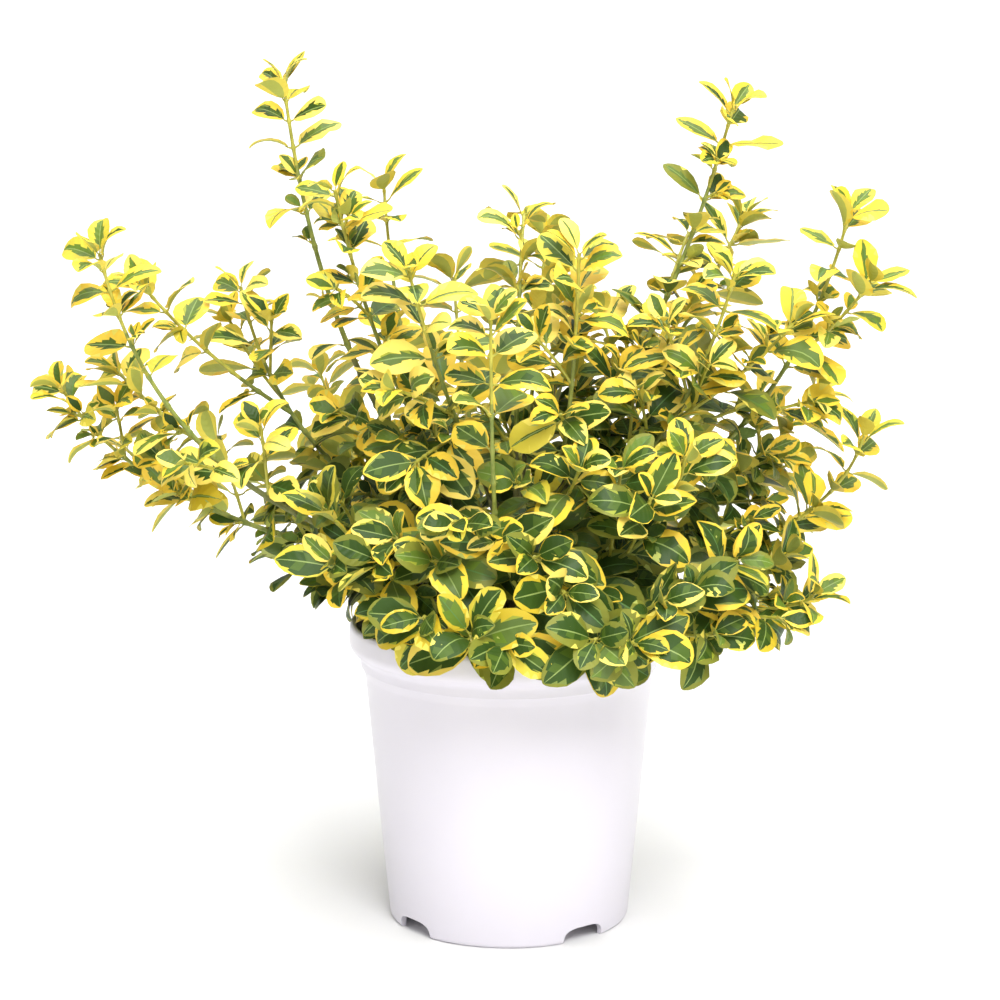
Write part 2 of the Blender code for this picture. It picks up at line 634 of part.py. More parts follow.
class Crown:
    """Every twig and leaf of the plant, so that each mass keeps to its own space."""

    def __init__(self, mains, branches):
        self.bough_ends = []
        self.twigs = []
        for index, (shoot, axis) in enumerate(zip(SHOOTS, mains)):
            end = BOUGH_SHARE * axis.length if shoot.bough else 0.0
            bare = end + (BARE_PAST_BOUGH if shoot.bough else BARE_SHOOT)
            self.bough_ends.append(end)
            grown = [Twig((index, 0), axis, bare, 1.0)]
            lines = enumerate(branches[index])
            grown += [Twig((index, i + 1), line, BARE_BRANCH, 1.0) for i, line in lines]
            self.twigs.append(grown)
        self.leaves = [[] for _ in SHOOTS]
        self.stem = [np.array([stem_centre(h) for h in np.linspace(0.0, STEM_HEIGHT, 6)])]
        self.grow_side_twigs()
        self.grow_leaves()

    def lines_of(self, owner):
        """The curves of one shoot, as polylines."""
        return [twig.axis.points[::LINE_STRIDE] for twig in self.twigs[owner]]

    def lines_of_others(self, owner):
        """The curves of every other shoot."""
        return [line for i in range(len(SHOOTS)) if i != owner for line in self.lines_of(i)]

    def clear_of_limbs(self, owner, points):
        """Whether the points stay off the pot, the woody stem, every bough and the other shoots."""
        if not clear_of_pot(points) or distance_to(points, self.stem).min() < WOOD_CLEARANCE:
            return False
        end = self.bough_ends[owner]
        bough = at(self.twigs[owner][0].axis, np.linspace(0.0, end, 12))
        if end > 0.0 and distance_to(points, [bough]).min() < STEM_CLEARANCE:
            return False
        return distance_to(points, self.lines_of_others(owner)).min() > STEM_CLEARANCE

    def in_space(self, owner, points):
        """Whether the points lie nearer the owner's curves than any other's, within the overlap."""
        own = distance_to(points, self.lines_of(owner))
        return bool(np.all(own < distance_to(points, self.lines_of_others(owner)) + SPACE_OVERLAP))

    def grow_side_twigs(self):
        """Add the side twigs that keep clear of everything that stands already."""
        for owner in range(len(SHOOTS)):
            for parent in list(self.twigs[owner]):
                for twig in side_twigs(parent):
                    points = at(twig.axis, np.linspace(TWIG_ROOT_FREE, twig.axis.length, 10))
                    others = [line for line in self.twigs[owner] if line is not parent]
                    siblings = [line.axis.points[::LINE_STRIDE] for line in others]
                    apart = not siblings or distance_to(points, siblings).min() > STEM_CLEARANCE
                    if apart and self.clear_of_limbs(owner, points) and self.in_space(owner, points):
                        self.twigs[owner].append(twig)

    def grow_leaves(self):
        """Add leaves from the tips inward, leaving out those that leave their space or touch."""
        waiting = []
        for owner, twigs in enumerate(self.twigs):
            for twig in twigs:
                waiting += [(index, owner, leaf) for index, leaf in leaves_on(twig)]
        waiting.sort(key=lambda item: item[0])
        for _, owner, leaf in waiting:
            if self.leaf_fits(owner, leaf):
                self.leaves[owner].append(leaf)

    def leaf_fits(self, owner, leaf):
        """Whether a leaf keeps to its owner's space and touches no limb and no other leaf."""
        points = outline(leaf)
        if not (self.clear_of_limbs(owner, points) and self.in_space(owner, points)):
            return False
        lines = self.lines_of(owner)
        starts = np.concatenate([line[:-1] for line in lines])
        ends = np.concatenate([line[1:] for line in lines])
        if pierced(leaf, starts, ends):
            return False
        middle = leaf.root + 0.5 * leaf.length * leaf.along
        for other_owner, leaves in enumerate(self.leaves):
            for other in leaves:
                if np.linalg.norm(other.root + 0.5 * other.length * other.along - middle) > LEAF_REACH:
                    continue
                if crosses(leaf, other):
                    return False
                if other_owner != owner and (near_blade(points, other) or near_blade(outline(other), leaf)):
                    return False
        return True


def curve_object(name, points, radii, resolution, collection, finish, bevel_object=None):
    """A poly curve with a radius at each point and filled ends."""
    curve = bpy.data.curves.new(name, "CURVE")
    curve.dimensions = "3D"
    curve.use_fill_caps = True
    spline = curve.splines.new("POLY")
    spline.points.add(len(points) - 1)
    spline.points.foreach_set("co", np.c_[points, np.ones(len(points))].ravel())
    if bevel_object is None:
        curve.bevel_depth = 1.0
        curve.bevel_resolution = resolution
    else:
        curve.bevel_mode = "OBJECT"
        curve.bevel_object = bevel_object
    spline.points.foreach_set("radius", radii)
    curve.materials.append(finish)
    obj = bpy.data.objects.new(name, curve)
    collection.objects.link(obj)
    return obj


def to_mesh(obj, collection):
    """Turn a curve object into a closed mesh object of the same name, and remove the curve."""
    name, place = obj.name, obj.matrix_world.copy()
    evaluated = obj.evaluated_get(bpy.context.evaluated_depsgraph_get())
    mesh = bpy.data.meshes.new_from_object(evaluated)
    bpy.data.objects.remove(obj, do_unlink=True)
    bm = bmesh.new()
    bm.from_mesh(mesh)
    bmesh.ops.remove_doubles(bm, verts=bm.verts, dist=MERGE_DISTANCE)
    bmesh.ops.recalc_face_normals(bm, faces=bm.faces)
    bm.to_mesh(mesh)
    bm.free()
    made = bpy.data.objects.new(name, mesh)
    made.matrix_world = place
    collection.objects.link(made)
    return made


def triangle_section(cutters):
    """A unit triangle that gives the twigs their three sides."""
    curve = bpy.data.curves.new("twig_section", "CURVE")
    curve.dimensions = "2D"
    spline = curve.splines.new("POLY")
    spline.points.add(2)
    for i, point in enumerate(spline.points):
        angle = i * math.tau / 3
        point.co = (math.cos(angle), math.sin(angle), 0.0, 1.0)
    spline.use_cyclic_u = True
    obj = bpy.data.objects.new("twig_section", curve)
    bpy.context.scene.collection.objects.link(obj)
    hide_cutter(obj, cutters)
    return obj


def leaf_object(name, leaf, collection):
    """An eight-faced blade: a sphere of four meridians, stretched to the leaf's length and width."""
    mesh = bpy.data.meshes.new(name)
    bm = bmesh.new()
    bmesh.ops.create_uvsphere(bm, u_segments=4, v_segments=2, radius=1.0)
    bm.to_mesh(mesh)
    bm.free()
    half_length = 0.5 * (leaf.length - LEAF_ROOT_START)
    side = np.cross(leaf.normal, leaf.along)
    columns = np.stack(
        [
            half_length * leaf.along,
            0.5 * LEAF_WIDTH_SHARE * leaf.length * side,
            0.5 * LEAF_THICKNESS * leaf.normal,
        ],
        axis=1,
    )
    corners = np.empty(len(mesh.vertices) * 3)
    mesh.vertices.foreach_get("co", corners)
    centre = leaf.root + (half_length + LEAF_ROOT_START) * leaf.along
    placed = corners.reshape(-1, 3) @ columns.T + centre
    mesh.vertices.foreach_set("co", placed.ravel())
    obj = bpy.data.objects.new(name, mesh)
    collection.objects.link(obj)
    return obj


def fuse(base, members):
    """Join a collection to a base by one Boolean union, apply it and remove the members."""
    union = base.modifiers.new("union", "BOOLEAN")
    union.operation = "UNION"
    union.operand_type = "COLLECTION"
    union.collection = members
    union.solver = "EXACT"
    bpy.context.view_layer.update()
    evaluated = base.evaluated_get(bpy.context.evaluated_depsgraph_get())
    fused = bpy.data.meshes.new_from_object(evaluated)
    base.modifiers.clear()
    base.data = fused
    for obj in list(members.objects):
        bpy.data.objects.remove(obj, do_unlink=True)
    bpy.data.collections.remove(members)


def drop_scraps(obj):
    """Keep the largest connected piece, in triangles."""
    bm = bmesh.new()
    bm.from_mesh(obj.data)
    unseen = set(bm.verts)
    pieces = []
    while unseen:
        queue = [unseen.pop()]
        piece = set(queue)
        while queue:
            for edge in queue.pop().link_edges:
                for vert in edge.verts:
                    if vert not in piece:
                        piece.add(vert)
                        queue.append(vert)
        unseen -= piece
        pieces.append(piece)
    pieces.sort(key=len)
    for piece in pieces[:-1]:
        bmesh.ops.delete(bm, geom=list(piece), context="VERTS")
    bmesh.ops.triangulate(bm, faces=bm.faces)
    bm.to_mesh(obj.data)
    bm.free()


def stem_points(axis, start):
    """Evenly spaced points of a curve from a start distance to its tip, with the radius at each."""
    count = max(3, int((axis.length - start) / STEM_POINT_SPACING) + 2)
    distances = np.linspace(start, axis.length, count)
    return at(axis, distances), twig_radius(axis.length - distances)


def make_mass(index, crown, section, collection, finish):
    """One leafy mass: its stem, branches, side twigs and leaves, joined into one solid."""
    shoot, leading = SHOOTS[index], crown.twigs[index][0].axis
    members = new_collection(f"{shoot.name}_members")
    start = crown.bough_ends[index] + GAP if shoot.bough else 0.0
    points, radii = stem_points(leading, start)
    name = f"{shoot.name}_foliage"
    stem = to_mesh(curve_object(name, points, radii, 0, collection, finish, section), collection)
    for twig in crown.twigs[index][1:]:
        points, radii = stem_points(twig.axis, 0.0)
        to_mesh(curve_object("twig", points, radii, 0, members, finish, section), members)
    for leaf in crown.leaves[index]:
        leaf_object("leaf", leaf, members)
    fuse(stem, members)
    drop_scraps(stem)
    stem.data.materials.clear()
    stem.data.materials.append(finish)
    return stem


def make_stem(collection, finish):
    """The woody stem, from its flat cut on the potting mix to its fork."""
    heights = np.array(STEM_RINGS)
    points = np.array([stem_centre(h) for h in heights])
    points[1, :2] = points[0, :2]
    stem = curve_object("main_stem", points, stem_radius(heights), 3, collection, finish)
    return to_mesh(stem, collection)


def make_bough(shoot, axis, collection, finish):
    """One tapering bough, from beside the woody stem to where its mass begins."""
    distances = np.linspace(0.0, BOUGH_SHARE * axis.length, BOUGH_POINTS)
    radii = twig_radius(axis.length - distances)
    name = f"{shoot.name}_bough"
    points = at(axis, distances)
    bough = curve_object(name, points, radii, BOUGH_SIDES_RESOLUTION, collection, finish)
    return to_mesh(bough, collection)


def main():
    """Build the pot, the potting mix, the woody stem, the boughs and the leafy masses."""
    clear_scene()
    plant = new_collection("wintercreeper_euonymus")
    cutters = new_collection("cutters")
    pot_white = material("pot_white", *POT_WHITE)
    bark_mix = material("bark_mix", *BARK_MIX)
    bark = material("bark", *BARK)
    young_bark = material("young_bark", *YOUNG_BARK)
    leaf_finish = material("variegated_leaf", *VARIEGATED_LEAF)

    make_pot(plant, cutters, pot_white)
    make_soil(plant, bark_mix)
    make_stem(plant, bark)
    axes = main_axes()
    branches = [branch_axes(shoot, axis) for shoot, axis in zip(SHOOTS, axes)]
    crown = Crown(axes, branches)
    section = triangle_section(cutters)
    for index, shoot in enumerate(SHOOTS):
        if shoot.bough:
            make_bough(shoot, axes[index], plant, young_bark)
        make_mass(index, crown, section, plant, leaf_finish)


main()
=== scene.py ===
"""Looks of a potted wintercreeper euonymus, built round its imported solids.

Metres, +Z up, seen from the front along +Y. The origin is the centre of the pot's flat underside. The
shoots follow the same curves as the solids, from the same seats on the woody stem to the same tips, and
the rule that sets their nodes, side twigs and leaves is written again here with finer nodes, axillary
rosettes and leaves of their real size.
"""

import logging
import math
from dataclasses import dataclass, field
from enum import Enum
from typing import Iterable, NamedTuple

import bpy
import numpy as np
from mathutils import Matrix, Vector
from mathutils.kdtree import KDTree
from numpy.random import Generator


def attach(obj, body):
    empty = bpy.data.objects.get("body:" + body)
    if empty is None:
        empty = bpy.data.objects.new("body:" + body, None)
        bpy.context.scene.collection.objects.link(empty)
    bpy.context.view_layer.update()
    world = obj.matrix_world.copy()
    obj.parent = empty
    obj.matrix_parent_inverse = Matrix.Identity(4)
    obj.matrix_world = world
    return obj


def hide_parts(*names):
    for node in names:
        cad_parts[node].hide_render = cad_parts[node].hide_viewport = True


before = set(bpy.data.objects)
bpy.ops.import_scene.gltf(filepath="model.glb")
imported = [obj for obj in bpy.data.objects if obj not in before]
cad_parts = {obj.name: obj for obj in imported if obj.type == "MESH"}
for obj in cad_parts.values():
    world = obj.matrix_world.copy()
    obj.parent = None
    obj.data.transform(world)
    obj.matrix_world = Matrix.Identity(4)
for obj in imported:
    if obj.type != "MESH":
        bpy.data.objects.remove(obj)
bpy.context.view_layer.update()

BODY = "root"
SEED = 61
# A direction that no limb follows, from which a tube's first spoke is worked out.
ASKEW = (0.31, 0.17, 0.93)
# Numbers that keep the draws of axil twigs and of bough nodes apart from the others.
AXIL_KEY = 90
BOUGH_NODE = 20

Pair = tuple[float, float]
Triple = tuple[float, float, float]
Arrays = dict[str, np.ndarray]

log = logging.getLogger("euonymus")


class Region(Enum):
    """A part of the crown whose leaves, twigs and boughs are each one piece."""

    LEFT = "left"
    MIDDLE = "middle"
    RIGHT = "right"
    FRONT = "front"
    BACK = "back"


class Branch(NamedTuple):
    """A long branch: the share of its shoot's length where it leaves, and its tip."""

    leaves_at: float
    tip: Triple


class Shoot(NamedTuple):
    """A shoot: its tip is its furthest reach, and a sweep above zero starts level and turns up."""

    name: str
    region: Region
    tip: Triple
    sweep: float
    bough: bool = True
    branches: tuple[Branch, ...] = ()
    fullness: float = 1.0
    leafy: float = 1.0
    chance: int = 0


SHOOTS = (
    Shoot(
        "left_low", Region.LEFT, (-0.229, 0.010, 0.276), 0.30, fullness=3.00, leafy=0.140, chance=12,
        branches=(Branch(0.62, (-0.167, -0.015, 0.226)),),
    ),
    Shoot(
        "left_outer", Region.LEFT, (-0.202, -0.035, 0.350), 0.35, fullness=0.95, leafy=0.065, chance=43,
        branches=(Branch(0.62, (-0.198, -0.005, 0.287)),),
    ),
    Shoot(
        "left_mid", Region.LEFT, (-0.140, 0.050, 0.323), 0.33, fullness=1.07, leafy=0.050, chance=88,
        branches=(
            Branch(0.66, (-0.188, 0.020, 0.328)),
            Branch(0.70, (-0.148, 0.070, 0.303)),
            Branch(0.38, (-0.114, 0.020, 0.216)),
        ),
    ),
    Shoot("left_tall", Region.LEFT, (-0.114, 0.020, 0.430), 0.30, fullness=0.83, leafy=0.079, chance=19),
    Shoot("left_inner", Region.LEFT, (-0.086, -0.030, 0.381), 0.20, fullness=0.98, leafy=0.102, chance=38),
    Shoot("left_back", Region.BACK, (-0.066, 0.080, 0.373), 0.35, fullness=0.21, leafy=0.040, chance=16),
    Shoot(
        "left_centre", Region.MIDDLE, (-0.049, -0.060, 0.345), 0.10, fullness=0.42, leafy=0.054, chance=14,
        branches=(Branch(0.40, (-0.046, -0.070, 0.252)),),
    ),
    Shoot(
        "centre_left", Region.MIDDLE, (0.008, 0.060, 0.360), -0.30, fullness=1.10, leafy=0.072, chance=65,
    ),
    Shoot("centre_back", Region.BACK, (0.020, 0.100, 0.345), 0.10, fullness=1.43, leafy=0.072, chance=40),
    Shoot(
        "centre", Region.MIDDLE, (0.034, -0.050, 0.352), 0.40, fullness=0.55, leafy=0.051, chance=54,
        branches=(Branch(0.50, (0.025, -0.065, 0.275)),),
    ),
    Shoot(
        "centre_front", Region.MIDDLE, (-0.009, -0.110, 0.329), 0.45, fullness=0.26, leafy=0.038, chance=19,
    ),
    Shoot("right_tall", Region.RIGHT, (0.114, 0.030, 0.417), 0.15, fullness=2.10, leafy=0.168, chance=50),
    Shoot("right_inner", Region.BACK, (0.126, 0.090, 0.357), 0.10, fullness=1.00, leafy=0.120, chance=72),
    Shoot(
        "right_mid", Region.RIGHT, (0.111, -0.040, 0.341), 0.25, fullness=1.40, leafy=0.144, chance=68,
        branches=(Branch(0.55, (0.141, -0.030, 0.315)),),
    ),
    Shoot(
        "right_outer", Region.RIGHT, (0.170, -0.010, 0.368), 0.30, fullness=0.80, leafy=0.100, chance=0,
        branches=(Branch(0.68, (0.180, -0.020, 0.334)),),
    ),
    Shoot(
        "right_low", Region.RIGHT, (0.184, 0.030, 0.246), 0.40, fullness=1.40, leafy=1.200, chance=2,
        branches=(Branch(0.60, (0.156, 0.005, 0.214)),),
    ),
    Shoot(
        "right_side", Region.RIGHT, (0.165, 0.075, 0.264), 0.25, fullness=1.40, leafy=1.200, chance=41,
        branches=(Branch(0.55, (0.148, 0.080, 0.222)),),
    ),
    Shoot(
        "right_droop", Region.RIGHT, (0.152, -0.045, 0.180), 0.45, fullness=0.69, leafy=0.048, chance=45,
        branches=(Branch(0.62, (0.134, -0.060, 0.172)), Branch(0.55, (0.139, -0.028, 0.197))),
    ),
    Shoot("back_left", Region.BACK, (-0.105, 0.150, 0.262), 0.25, fullness=1.40, leafy=0.168, chance=44),
    Shoot("back_middle", Region.BACK, (-0.010, 0.185, 0.255), 0.33, fullness=0.98, leafy=0.960, chance=39),
    Shoot("back_right", Region.BACK, (0.085, 0.160, 0.270), 0.25, fullness=1.19, leafy=0.720, chance=79),
    Shoot("back_upper", Region.BACK, (-0.030, 0.130, 0.318), 0.28, fullness=0.20, leafy=0.051, chance=49),
    Shoot(
        "front_right", Region.FRONT, (0.059, -0.115, 0.173), 0.30, bough=False,
        fullness=0.65, leafy=0.018, chance=46,
        branches=(Branch(0.55, (0.041, -0.121, 0.176)), Branch(0.50, (0.073, -0.102, 0.190))),
    ),
    Shoot(
        "front_left", Region.FRONT, (-0.019, -0.118, 0.178), 0.45, bough=False,
        fullness=0.85, leafy=0.013, chance=47,
        branches=(Branch(0.50, (-0.041, -0.108, 0.184)), Branch(0.62, (-0.002, -0.121, 0.174))),
    ),
    Shoot(
        "front_middle", Region.FRONT, (0.012, -0.102, 0.212), 0.10, bough=False,
        fullness=1.00, leafy=0.021, chance=51,
        branches=(Branch(0.45, (-0.006, -0.098, 0.219)), Branch(0.45, (0.026, -0.112, 0.197))),
    ),
    Shoot(
        "front_left_upper", Region.FRONT, (-0.036, -0.093, 0.208), 0.10, bough=False,
        fullness=0.65, leafy=0.019, chance=55,
        branches=(Branch(0.45, (-0.054, -0.078, 0.216)),),
    ),
    Shoot(
        "front_right_upper", Region.FRONT, (0.085, -0.085, 0.257), 0.35, bough=False,
        fullness=0.52, leafy=0.020, chance=28,
        branches=(Branch(0.55, (0.068, -0.093, 0.239)), Branch(0.45, (0.054, -0.078, 0.250))),
    ),
    Shoot(
        "left_lower", Region.FRONT, (-0.086, -0.068, 0.201), 0.30, bough=False,
        fullness=0.60, leafy=0.020, chance=21,
        branches=(Branch(0.50, (-0.064, -0.086, 0.207)), Branch(0.45, (-0.091, -0.056, 0.226))),
    ),
    Shoot(
        "right_front", Region.FRONT, (0.099, -0.076, 0.168), 0.45, bough=False,
        fullness=0.35, leafy=0.009, chance=55,
        branches=(Branch(0.50, (0.088, -0.086, 0.192)), Branch(0.50, (0.111, -0.068, 0.203))),
    ),
    Shoot(
        "left_rim", Region.LEFT, (-0.117, 0.028, 0.186), 0.30, bough=False,
        fullness=0.70, leafy=0.048, chance=70,
    ),
    Shoot(
        "back_left_rim", Region.BACK, (-0.085, 0.105, 0.190), 0.35, bough=False,
        fullness=1.00, leafy=1.000, chance=51,
    ),
    Shoot(
        "back_rim", Region.BACK, (0.020, 0.135, 0.185), 0.35, bough=False,
        fullness=0.65, leafy=0.850, chance=22,
    ),
    Shoot(
        "back_right_rim", Region.BACK, (0.100, 0.098, 0.190), 0.35, bough=False,
        fullness=1.40, leafy=1.200, chance=47,
    ),
    Shoot(
        "inner_front", Region.FRONT, (0.034, -0.086, 0.252), 0.15, bough=False,
        fullness=0.78, leafy=0.027, chance=33,
        branches=(Branch(0.60, (0.044, -0.066, 0.238)),),
    ),
)


def linear(red: int, green: int, blue: int) -> Triple:
    """A screen colour, in steps of 0 to 255, as the linear light values that a shader takes."""
    shares = [value / 255 for value in (red, green, blue)]
    return tuple(s / 12.92 if s <= 0.04045 else ((s + 0.055) / 1.055) ** 2.4 for s in shares)


def unit(vectors: np.ndarray) -> np.ndarray:
    """Vectors divided by their own length."""
    return vectors / np.linalg.norm(vectors, axis=-1, keepdims=True)


def smoothstep(low: float, high: float, value: np.ndarray) -> np.ndarray:
    """0 below low, 1 above high, and 3s^2 - 2s^3 of the share s between them."""
    share = np.clip((value - low) / (high - low), 0.0, 1.0)
    return share * share * (3.0 - 2.0 * share)


def draw(*key: int) -> np.ndarray:
    """Six seeded numbers from -1 to 1 that belong to one leaf or twig, whose key starts with its shoot."""
    return np.random.default_rng([SEED + SHOOTS[key[0]].chance, *key]).uniform(-1.0, 1.0, 6)


def feed(tree: bpy.types.NodeTree, socket: bpy.types.NodeSocket, value: "float | tuple | Wire") -> None:
    """Give a node's socket a number, a colour or a link."""
    if isinstance(value, Wire):
        tree.links.new(value.output, socket)
    else:
        socket.default_value = value


class Wire:
    """One output of a shader node, on which Python's operators add Math nodes."""

    def __init__(self, tree: bpy.types.NodeTree, output: bpy.types.NodeSocket) -> None:
        """Keep the tree that new Math nodes go in, and the output that this value comes from."""
        self.tree = tree
        self.output = output

    def math(self, operation: str, left: "Wire | float", right: "Wire | float" = 0.0) -> "Wire":
        """Add one Math node with two values, and give its result."""
        node = self.tree.nodes.new("ShaderNodeMath")
        node.operation = operation
        for index, value in enumerate((left, right)):
            feed(self.tree, node.inputs[index], value)
        return Wire(self.tree, node.outputs[0])

    def __add__(self, other: "Wire | float") -> "Wire":
        """Sum."""
        return self.math("ADD", self, other)

    def __sub__(self, other: "Wire | float") -> "Wire":
        """Difference."""
        return self.math("SUBTRACT", self, other)

    def __mul__(self, other: "Wire | float") -> "Wire":
        """Product."""
        return self.math("MULTIPLY", self, other)

    def __abs__(self) -> "Wire":
        """Absolute value."""
        return self.math("ABSOLUTE", self)

    def sine(self) -> "Wire":
        """Sine."""
        return self.math("SINE", self)


class Paint:
    """A material with one Principled shader, to which nodes are added by one method."""

    def __init__(self, name: str, colour: Triple, roughness: float) -> None:
        """Make the material, with its base colour in linear light and its roughness."""
        self.material = bpy.data.materials.new(name)
        self.material.use_nodes = True
        self.tree = self.material.node_tree
        self.shader = self.tree.nodes["Principled BSDF"]
        self.set("Base Color", (*colour, 1.0))
        self.set("Roughness", roughness)

    def set(self, socket: str, value: "float | tuple | Wire") -> None:
        """Give one of the shader's sockets a number, a colour or a link."""
        feed(self.tree, self.shader.inputs[socket], value)

    def node(self, kind: str, settings: dict | None = None, inputs: dict | None = None) -> bpy.types.Node:
        """Add one node.

        Args:
            kind: The node's type.
            settings: What is set on the node first, such as an operation, or a ramp's stops.
            inputs: Values or links of its sockets, by name or number.

        Returns:
            The node.
        """
        made = self.tree.nodes.new(kind)
        for key, value in (settings or {}).items():
            if key == "stops":
                self.set_stops(made.color_ramp, value)
            else:
                setattr(made, key, value)
        for key, value in (inputs or {}).items():
            feed(self.tree, made.inputs[key], value)
        return made

    @staticmethod
    def set_stops(ramp: bpy.types.ColorRamp, stops: Iterable[tuple[float, tuple]]) -> None:
        """Give a ramp its stops, each a place and a colour."""
        for index, (place, colour) in enumerate(stops):
            stop = ramp.elements[index] if index < 2 else ramp.elements.new(place)
            stop.position = place
            stop.color = (*colour, 1.0)

    def wire(self, node: bpy.types.Node, output: "str | int" = 0) -> Wire:
        """One output of a node."""
        return Wire(self.tree, node.outputs[output])

    def place(self, scale: Triple = (1.0, 1.0, 1.0)) -> Wire:
        """Object coordinates, stretched by a Mapping node."""
        coordinates = self.node("ShaderNodeTexCoord")
        inputs = {"Vector": self.wire(coordinates, "Object"), "Scale": scale}
        return self.wire(self.node("ShaderNodeMapping", None, inputs))

    def noise(self, vector: Wire, scale: float, detail: float = 3.0, roughness: float = 0.55) -> Wire:
        """A noise value from 0 to 1."""
        inputs = {"Vector": vector, "Scale": scale, "Detail": detail, "Roughness": roughness}
        return self.wire(self.node("ShaderNodeTexNoise", None, inputs))

    def relief(self, height: Wire, strength: float, distance: float) -> None:
        """Lead a height into the shader's normal through a Bump node."""
        inputs = {"Height": height, "Strength": strength, "Distance": distance}
        self.set("Normal", self.wire(self.node("ShaderNodeBump", None, inputs)))

    def ramp(self, value: Wire, stops: Iterable[tuple[float, tuple]]) -> Wire:
        """A colour picked from a ramp by a value."""
        return self.wire(self.node("ShaderNodeValToRGB", {"stops": stops}, {"Fac": value}))


@dataclass(frozen=True)
class LeafFinish:
    """One colour of a leaf: plain, with fine relief along its veins."""

    name: str
    colour: Triple
    roughness: float = 0.48
    vein_count: float = 6.0
    vein_slant: float = 0.22
    vein_height: float = 0.35
    grain_height: float = 0.6
    grain_scale: float = 1400.0
    relief_strength: float = 0.30
    relief_depth: float = 0.0004
    shine: float = 0.26

    def make(self) -> bpy.types.Material:
        """A plain colour whose normal follows side veins, sin(2 pi n (v - slant |u|)), and a fine grain."""
        paint = Paint(self.name, self.colour, self.roughness)
        uv = paint.node("ShaderNodeUVMap", {"uv_map": "blade"})
        parts = paint.node("ShaderNodeSeparateXYZ", None, {0: paint.wire(uv)})
        across = abs(paint.wire(parts, 0) * 2.0 - 1.0)
        veins = ((paint.wire(parts, 1) - across * self.vein_slant) * (math.tau * self.vein_count)).sine()
        grain = paint.noise(paint.place(), self.grain_scale)
        height = veins * self.vein_height + grain * self.grain_height
        paint.relief(height, self.relief_strength, self.relief_depth)
        paint.set("Specular IOR Level", self.shine)
        return paint.material


@dataclass(frozen=True)
class BarkFinish:
    """Bark of one age: two tones that a stretched noise mixes, with relief along the limb."""

    name: str
    dark: Triple
    light: Triple
    roughness: float = 0.7
    scale: float = 260.0
    depth: float = 0.0004

    def make(self) -> bpy.types.Material:
        """A material whose colour and relief both follow one noise."""
        paint = Paint(self.name, self.light, self.roughness)
        grain = paint.noise(paint.place((1.0, 1.0, 0.45)), self.scale, 4.0)
        paint.set("Base Color", paint.ramp(grain, ((0.32, self.dark), (0.66, self.light))))
        paint.relief(grain, 0.6, self.depth)
        return paint.material


@dataclass(frozen=True)
class PlasticFinish:
    """White satin plastic of the moulded pot."""

    name: str = "satin_white_plastic"
    colour: Triple = linear(222, 218, 226)
    roughness: float = 0.30
    roughness_spread: float = 0.12
    cloud_scale: float = 22.0
    fine_scale: float = 2600.0
    relief_strength: float = 0.12
    relief_depth: float = 0.0010
    shine: float = 0.40
    coat: float = 0.06
    coat_roughness: float = 0.25

    def make(self) -> bpy.types.Material:
        """A satin white with a faint unevenness of gloss and of the moulded wall."""
        paint = Paint(self.name, self.colour, self.roughness)
        cloud = paint.noise(paint.place((1.0, 1.0, 0.3)), self.cloud_scale, 2.0)
        fine = paint.noise(paint.place(), self.fine_scale, 2.0)
        least = self.roughness - 0.5 * self.roughness_spread
        paint.set("Roughness", cloud * self.roughness_spread + least)
        paint.relief(cloud * 0.8 + fine * 0.03, self.relief_strength, self.relief_depth)
        paint.set("Specular IOR Level", self.shine)
        paint.set("Coat Weight", self.coat)
        paint.set("Coat Roughness", self.coat_roughness)
        return paint.material


@dataclass(frozen=True)
class MixFinish:
    """Brown bark and peat: tones picked by noise, with coarse relief."""

    name: str
    tones: tuple[Triple, ...]
    scale: float = 180.0
    roughness: float = 0.92

    def make(self) -> bpy.types.Material:
        """A rough material whose ramp spreads its tones over the noise."""
        paint = Paint(self.name, self.tones[0], self.roughness)
        grain = paint.noise(paint.place(), self.scale, 5.0, 0.62)
        stops = [(0.30 + 0.40 * i / (len(self.tones) - 1), tone) for i, tone in enumerate(self.tones)]
        paint.set("Base Color", paint.ramp(grain, stops))
        paint.relief(grain, 0.8, 0.0012)
        return paint.material


@dataclass(frozen=True)
class FloorFinish:
    """The pale studio floor and wall, with a glow that grows from one distance to another."""

    name: str = "pale_floor"
    colour: Triple = (0.87, 0.87, 0.87)
    roughness: float = 0.75
    glow: float = 0.55
    near: float = 0.45
    far: float = 1.75

    def make(self) -> bpy.types.Material:
        """A plain matt white, whose glow keeps it white in the distance, where the lamps don't reach."""
        paint = Paint(self.name, self.colour, self.roughness)
        length = paint.node("ShaderNodeVectorMath", {"operation": "LENGTH"}, {0: paint.place()})
        ends = {"Value": paint.wire(length, "Value"), "From Min": self.near, "From Max": self.far}
        spread = paint.node("ShaderNodeMapRange", {"interpolation_type": "SMOOTHSTEP"}, ends)
        paint.set("Emission Color", paint.wire(spread, "Result"))
        paint.set("Emission Strength", self.glow)
        return paint.material


